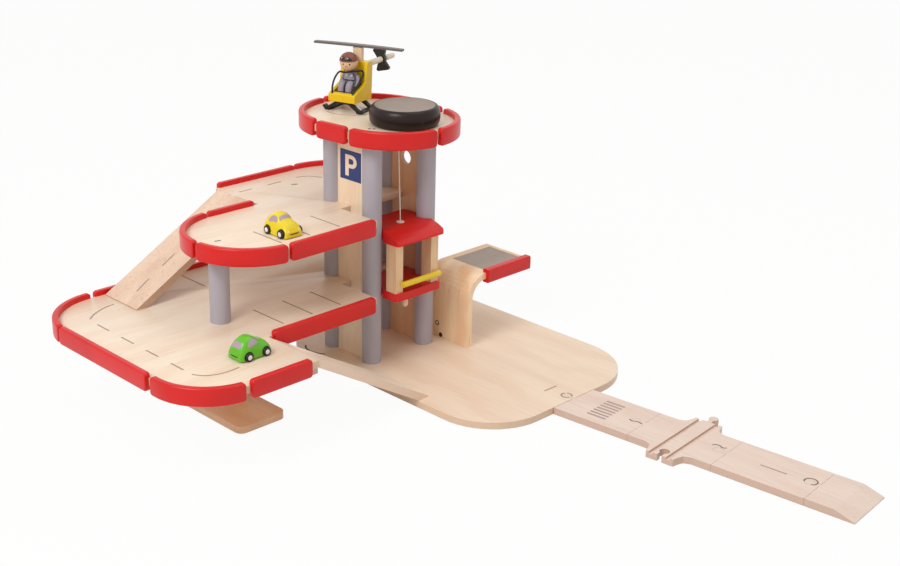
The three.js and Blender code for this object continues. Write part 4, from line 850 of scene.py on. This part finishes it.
# %% Pilot
HELI_PLACE, HELI_TURN = (-64.2, -0.1), math.radians(16)
SKIN = dry_paint("pilot_skin", tint(232, 190, 152), 0.42)
CAP = lacquer("pilot_cap", tint(124, 66, 48), gloss=0.35, coat=0.2)
COAT = dry_paint("pilot_coat", tint(158, 148, 162), 0.5)
COLLAR = dry_paint("pilot_collar", tint(206, 206, 212), 0.5)
GOGGLE = lacquer("goggle_dark", tint(42, 34, 36), gloss=0.2)
PAINTED_GLINT = lacquer("goggle_painted_glint", tint(214, 206, 210), gloss=0.15)


def toy(point):
    x, y, z = point
    return (*turned(x, y, HELI_TURN, HELI_PLACE), ROOF_TOP + z)


def ball(centre, sizes, rows=16, columns=28):
    rings = []
    for down in [math.pi * row / rows for row in range(rows + 1)]:
        spots = [Vector((x, y, math.cos(down))) for x, y in circle(math.sin(down), columns)]
        rings.append([toy(Vector(centre) + spot * Vector(sizes)) for spot in spots])
    return loft(rings)


SEAT_FLOOR, HEAD_SIZE = 21.2, 13.4
head = (0, -2.6, SEAT_FLOOR + 49)
piece("pilot_head", *ball(head, (HEAD_SIZE,) * 3), SKIN, "helicopter", 60, replaces=("heli_pilot",))
CAP_TILT, CAP_RIM, CAP_SIZE = math.radians(-4), 78, 14.1
FACE_TURN, GOGGLE_TURN = 0.276, 0.15


def on_cap(down, turn, size):
    """A point of the cap, a part of a sphere tilted back; down is the angle from its crown."""
    spot = Vector((math.sin(down) * math.cos(turn), math.sin(down) * math.sin(turn), math.cos(down))) * size
    return toy(Vector(head) + Matrix.Rotation(-CAP_TILT, 3, "X") @ spot)


cap_rows = [[on_cap(math.radians(down), math.radians(9 * step), size) for step in range(40)]
            for down, size in [(CAP_RIM * row / 16 + 1, CAP_SIZE) for row in range(16)]
            + [(CAP_RIM, CAP_SIZE + 0.1), (CAP_RIM + 1, CAP_SIZE - 0.2), (CAP_RIM + 1, 12.5)]]
piece("pilot_cap", *loft(cap_rows), CAP, "helicopter", 60)
coat_line = [(3, 37), (7.2, 34), (9, 31.5), (10.4, 28), (11.6, 21), (11.8, 12), (11.6, 4), (10.6, 0.2)]
limbs = [loft([[toy((x, 3.2 + 0.7 * y, SEAT_FLOOR + height)) for x, y in circle(size, 32)]
               for size, height in coat_line])]
arm = [(10.5, 3, 29), (12.5, 1.5, 24), (13, -1, 18), (12, -4.5, 14)]
leg = [(6.3, -2, 13), (6.3, -8, 17.5), (6.3, -11.5, 15), (6.3, -12.6, 8), (6.3, -12.6, 1)]
for side in (-1, 1):
    for way, spans, radius, steps in ((arm, 5, 2.9, 12), (leg, 6, 5.6, 14)):
        path = smooth_path([(side * x, y, SEAT_FLOOR + z) for x, y, z in way], spans)
        limbs.append(tube([toy(point) for point in path], radius, steps))
piece("pilot_suit", *merged(*limbs), COAT, "helicopter", 50)
# The first dark line runs down the gap between the legs as painted shade; the others are the suit's strap and
# chest seam.
strap_lines_and_gap_shade = [[(0, -15.5, 2), (0, -16.2, 10), (0, -14.5, 17), (0, -9, 21.5)],
          [(12, -15, 3), (12.3, -14, 12), (11.8, -9, 20), (10.5, -3, 27), (7, -3.2, 33)],
          [(-9.8, -1.6, 22.5), (-5, -4.8, 23), (0, -5.9, 23), (5, -4.8, 23), (9.8, -1.6, 22.5)]]
ribbons = [tube([toy((x, y, SEAT_FLOOR + z)) for x, y, z in smooth_path(strap, 6)], 0.75, 8)
           for strap in strap_lines_and_gap_shade]
piece("pilot_strap_lines_and_gap_shade", *merged(*ribbons), GOGGLE, "helicopter", 60)
patches = [ball((side * 4 + 1, -3.6, SEAT_FLOOR + 29.5), (2.6, 1.4, 2.2), 8, 16) for side in (-1, 1)]
piece("pilot_collar", *merged(*patches), COLLAR, "helicopter", 60)


def face_dot(name, turn, rise, size, material, reach=HEAD_SIZE, lift=0.3, wide=1.0):
    """A small painted dot on the pilot's head, at an angle off straight ahead and an angle up."""
    centre = Vector((math.sin(turn) * math.cos(rise), -math.cos(turn) * math.cos(rise), math.sin(rise)))
    side = Vector((math.cos(turn), math.sin(turn), 0))
    up_axis = centre.cross(side) * -1
    rings = [[toy(Vector(head) + centre * (reach + depth) + side * wide * x + up_axis * y)
              for x, y in circle(size * share, 20)]
             for depth, share in ((-0.6, 1.0), (lift * 0.6, 0.92), (lift, 0.5))]
    piece(name, *loft(rings), material, "helicopter", 60)


for side in (-1, 1):
    letter = "ab"[side > 0]
    face_dot("pilot_eye_" + letter, FACE_TURN + side * 0.37, -0.1, 1.25, GOGGLE)
    face_dot("goggle_rim_" + letter, GOGGLE_TURN + side * 0.34, 0.5, 2.7, GOGGLE, reach=14.2, lift=1.6)
    # A pale dot on each goggle lens is a painted highlight.
    face_dot("goggle_painted_glint_" + letter, GOGGLE_TURN + side * 0.34 - 0.05, 0.5, 1.0, PAINTED_GLINT, reach=15.7, lift=0.3)
face_dot("pilot_mouth", FACE_TURN, -0.36, 0.5, CAP, wide=3.4)
band = [on_cap(math.radians(64), math.radians(turn), CAP_SIZE - 0.5) for turn in range(-128, -35, 8)]
piece("goggle_band", *tube(band, 1.9, 10), GOGGLE, "helicopter", 60)
print("pilot head centre", [round(value, 1) for value in toy(head)])

# %% [markdown]
# The rotor is one thin, nearly flat board on a flat post. Its boom carries the tail blade, and the boom's
# end shows behind it. Every black leg has one pale line along it, a painted highlight.

# %% Rotor, post and legs
POST_TOP, BLADE_HALF, BLADE_THICK, BLADE_YAW = 88.4, 70.5, 3.2, math.radians(6)
ROTOR_AT = (3.2, 18.2)
post = loft([[toy((x, y, z)) for x, y in ((-4.4, 14.8), (10.4, 14.8), (10.4, 21.6), (-4.4, 21.6))]
             for z in (64, POST_TOP)])
piece("rotor_post", *post, POST, "helicopter", 30, edge=0.8, replaces=("heli_mast",))
blade = []
for spot in range(-12, 13):
    share = spot / 12
    half, rise = 5.2 * (1 - 0.22 * share ** 2), POST_TOP + 0.7 - 0.7 * share ** 2
    blade.append([toy((*turned(share * BLADE_HALF, across, BLADE_YAW, ROTOR_AT), rise + height))
                  for across, height in ((-half, 0), (half, 0), (half, BLADE_THICK), (-half, BLADE_THICK))])
piece("rotor_board", *loft(blade), ROTOR, "main_rotor", 30, edge=0.4, replaces=("heli_rotor",))
BOOM_LEVEL = 58
tip_rings = [[toy((x, along, BOOM_LEVEL + z)) for x, z in circle(size, 24)] for size, along in (
    (1.7, 88), (1.7, 98), (4, 98.5), (4.3, 100), (4.3, 119), (3.6, 120.8), (1, 121.2))]
piece("boom_end", *loft(tip_rings), CREAM, "helicopter", 50)
# The pale line along each black leg is a painted highlight.
leg_painted_highlights = [tube([toy((side * x, along, z)) for x, z in ((11, 15.2), (20, 9.8), (28.6, 4.7))], 0.8, 8)
             for side in (-1, 1) for along in (-14, 18)]
piece("leg_painted_highlights", *merged(*leg_painted_highlights), CREAM, "helicopter", 60)

# %% [markdown]
# Printed marks, thin grey-brown road lines on every deck, are ribbons a fraction of a millimetre thick.
# Parking bays are crossed by long lines, the lanes have short dashes, and the zebra crossing is printed on
# the first road board. The same ribbons also lay a painted shadow on the base and painted shade in three
# screw holes on the top deck.

# %% Printed marks
INK_RISE = 0.22


def ribbon(path, width, level):
    rings = []
    for spot, point in enumerate(path):
        before, after = path[max(spot - 1, 0)], path[min(spot + 1, len(path) - 1)]
        along = Vector((after[0] - before[0], after[1] - before[1], 0)).normalized()
        side = Vector((-along[1], along[0], 0)) * width / 2
        height = level(point) if callable(level) else level
        rings.append([(point[0] + hand * side[0], point[1] + hand * side[1], height + rise)
                      for hand, rise in ((1, -0.1), (1, INK_RISE), (-1, INK_RISE), (-1, -0.1))])
    return loft(rings)


def marks(name, lines, level, width, body="garage", material=INK):
    piece(name, *merged(*[ribbon(line, width, level) for line in lines]), material, body, 40)


lower_lines = [[(first, -418), (last, -418)] for first, last in ((-104, -76), (-46, -18), (11, 38), (66, 93))]
lower_lines += [smooth_path(way, 5) for way in (
    [(-127, -415), (-138.5, -401), (-148, -381), (-152, -361)],
    [(111, -418), (121, -412), (128, -404), (133, -391), (134.5, -377), (133.5, -362)])]
lower_lines += [[(-5, y), (60, y)] for y in (-231, -180, -129)] + [[(-186, -226), (-123, -227)]]
marks("lower_deck_lines", lower_lines, LOWER_TOP, 2.2)
upper_lines = [[(-157, -135), (-157, -111)], [(-157, -82), (-157.5, -56)],
               smooth_path([(-159, -26), (-156, -14.6), (-148.5, -4.8), (-132.5, 3.6)], 6)]
upper_lines += [[(-2, y), (59, y)] for y in (-129, -182, -230)]
marks("upper_deck_lines", upper_lines, UPPER_TOP, 2.1)
marks("upper_deck_dashes", [[(-5, -292), (-3, -284)], [(-136, -54), (-131, -46)]], UPPER_TOP, 3, material=DASH)
KNOB_AT = (311, 68.7)
base_lines = [arc(KNOB_AT, 7.5, first, last, 12) for first, last in ((20, 125), (150, 340))]
marks("base_lines", [[(281, 56.5), (281.5, 81.5)]] + base_lines, BASE_TOP, 2.0)
# A dark curve on the base is a painted shadow, where the ramp's far edge leaves a gap over the base.
shadow_curve = smooth_path([(-66, -88), (-61, -93), (-52, -96.3), (-41, -96), (-30, -93), (-22, -88)], 5)
marks("base_painted_shadow", [shadow_curve], BASE_TOP, 2.4, material=PAINTED_HOLE_SHADE)
marks("helipad_ring", [arc((-68, 12), 47, -100, -16, 24)], ROOF_TOP, 1.8)
# Three screw holes in the top deck are dark dots of painted shade.
screws = [arc(spot, 1.2, 0, 300, 8) for spot in ((36.6, -54), (41, -49.5), (-85.5, 75))]
marks("roof_dots", screws, ROOF_TOP, 2.2, material=PAINTED_HOLE_SHADE)


ramp_low, ramp_high = node_box("long_ramp")


def long_level(point):
    share = (point[1] - ramp_high[1]) / (ramp_low[1] - ramp_high[1])
    return UPPER_TOP + (LOWER_TOP + 2 - UPPER_TOP) * share


dashes = [[(-144.5, -262), (-144, -273), (-143.7, -284)], [(-143, -308), (-142, -319), (-141, -330)]]
marks("long_ramp_dashes", dashes, long_level, 1.9)
print("ink lines on", LOWER_TOP, UPPER_TOP)

# %% [markdown]
# The road strip leaves the base at a slight angle. Its own frame has u along the road and v across it.

# %% Road prints
ROAD_START, ROAD_TURN = (324.4, 68), math.radians(5.3)


def road(u, v):
    return turned(u, v, ROAD_TURN, ROAD_START)


stripes = [[road(39, v), road(68, v)] for v in (-24, -16, -8, 0, 8, 16, 24)]
marks("zebra_stripes", stripes, BASE_TOP, 3.6, "zebra_road", ZEBRA_INK)
KNOB_LINES = [
    ("knob_mark", "zebra_road",
     smooth_path([(416.5, 75), (420, 73), (423, 73.6), (429, 76.7), (436.5, 75.4)], 4)),
    ("crossing_knob_mark", "crossing_road",
     smooth_path([(535.3, 95.1), (539, 99.4), (544.3, 99.8), (549.4, 97.6), (553.3, 101.1)], 4)),
    ("straight_knob_mark", "straight_road", arc((675, 103.2), 8.4, 215, -60, 12))]
for name, body, line in KNOB_LINES:
    marks(name, [line], BASE_TOP, 1.8, body, DASH)
marks("road_dash", [[road(285, 0), road(321, 0)]], BASE_TOP, 2.4, "straight_road", ZEBRA_INK)

# %% [markdown]
# The parking sign is a blue field with a pale letter P, painted on the panel between the front pillars.

# %% Parking sign
SIGN_Z, SIGN_HALF = 298, 22
face_y = node_box("sign_panel")[0][1]


def on_sign(outline, near, far):
    return loft([[(x, face_y - depth, SIGN_Z + z) for x, z in outline] for depth in (near, far)])


field = [(-SIGN_HALF, -21.5), (SIGN_HALF, -21.5), (SIGN_HALF, 22), (-SIGN_HALF, 22)]
piece("sign_field", *on_sign(field, -0.2, 0.25), SIGN_BLUE, "garage", 30)
stem = [(-11, -15.5), (-3.8, -15.5), (-3.8, 15.5), (-11, 15.5)]
bowl_out, bowl_in = [
    [(-4, 6 + tall)] + [(2.5 + wide * math.sin(turn), 6 + tall * math.cos(turn))
                        for turn in map(math.radians, range(0, 181, 15))] + [(-4, 6 - tall)]
    for wide, tall in ((10.5, 9.5), (3.8, 4))]
count = len(bowl_out)
points = [(x, face_y - depth, SIGN_Z + z) for depth in (0.1, 0.5) for x, z in bowl_out + bowl_in]
faces = []
for spot in range(count - 1):
    a, b, c, d = spot, spot + 1, count + spot + 1, count + spot
    shift = 2 * count
    faces += [(a, b, c, d), (a + shift, d + shift, c + shift, b + shift), (a, a + shift, b + shift, b),
              (d, c, c + shift, d + shift)]
faces += [(0, count, 3 * count, 2 * count), (count - 1, 3 * count - 1, 4 * count - 1, 2 * count - 1)]
piece("sign_letter_stem", *on_sign(stem, 0.1, 0.5), SIGN_LETTER, "garage", 30)
piece("sign_letter_bowl", points, faces, SIGN_LETTER, "garage", 30)

# %% [markdown]
# Small fittings finish the toy: the grey-brown ribbed mat on the canopy, the dowel holes in its leg as discs
# of painted shade with a painted highlight on the dowel, the washer where the cord meets the lift roof, the
# peg under the lift and the cleat under the ramp's head.

# %% Fittings
mat_x, mat_y = (26.4, 91.6), (128.4, 209.6)
mat_level = node_box("station_canopy")[1][2] - 2.5
MAT = timber("ribbed_mat", tint(172, 154, 140), tint(146, 126, 114), plies=False)
RIBS, RIB_SHARE = 20, 0.82
ribs = []
for spot in range(RIBS):
    start, end = [mat_x[0] + (mat_x[1] - mat_x[0]) * (spot + share) / RIBS for share in (0, RIB_SHARE)]
    section = [(start, -0.2), (start, 2.2), (end, 2.2), (end, -0.2)]
    ribs.append(loft([[(x, y, mat_level + z) for x, z in section] for y in mat_y]))
piece("station_mat", *merged(*ribs), MAT, "garage", 30)
LEG_FACE = 83.5
# The two holes are dark discs of painted shade, and the dowel's end is pale as a painted highlight.
for name, x, z, size, proud, finish in (("leg_hole_upper", 40.5, 32, 3.9, 0.3, PAINTED_HOLE_SHADE),
                                        ("leg_dowel_painted_highlight", 40.8, 32.4, 2.3, 0.5, WASHER),
                                        ("leg_hole_lower", 48.4, 14.3, 3.7, 0.3, PAINTED_HOLE_SHADE)):
    piece(name, *tube([(x, LEG_FACE + 0.6, z), (x, LEG_FACE - proud, z)], size, 20), finish, "garage", 50)
CORD_AT, PEG_AT, LIFT_UNDER = (41.5, 2.5), (76.5, -20.3), 110.5
roof_top = node_box("lift_roof")[1][2]
washer = [(6, -0.3), (6, 0.6), (5.4, 1), (1.6, 1), (1.5, 0.2)]
piece("cord_washer", *turn_profile([(size, roof_top + z) for size, z in washer], CORD_AT, 32), WASHER,
      "lift_car", 40)
peg = tube([(*PEG_AT, LIFT_UNDER + z) for z in (1, -10, -13)], 4.6, 20, taper=(1, 1, 0.4))
piece("lift_peg", *peg, DOWEL, "lift_car", 40)
cleat = box((150, -288.5, LOWER_TOP - 17.5), (184.5, -276, LOWER_TOP - DECK_HALF * 2))
piece("ramp_cleat", *cleat, RAMP, "garage", 30, edge=0.8)
print("mat ribs", RIBS)
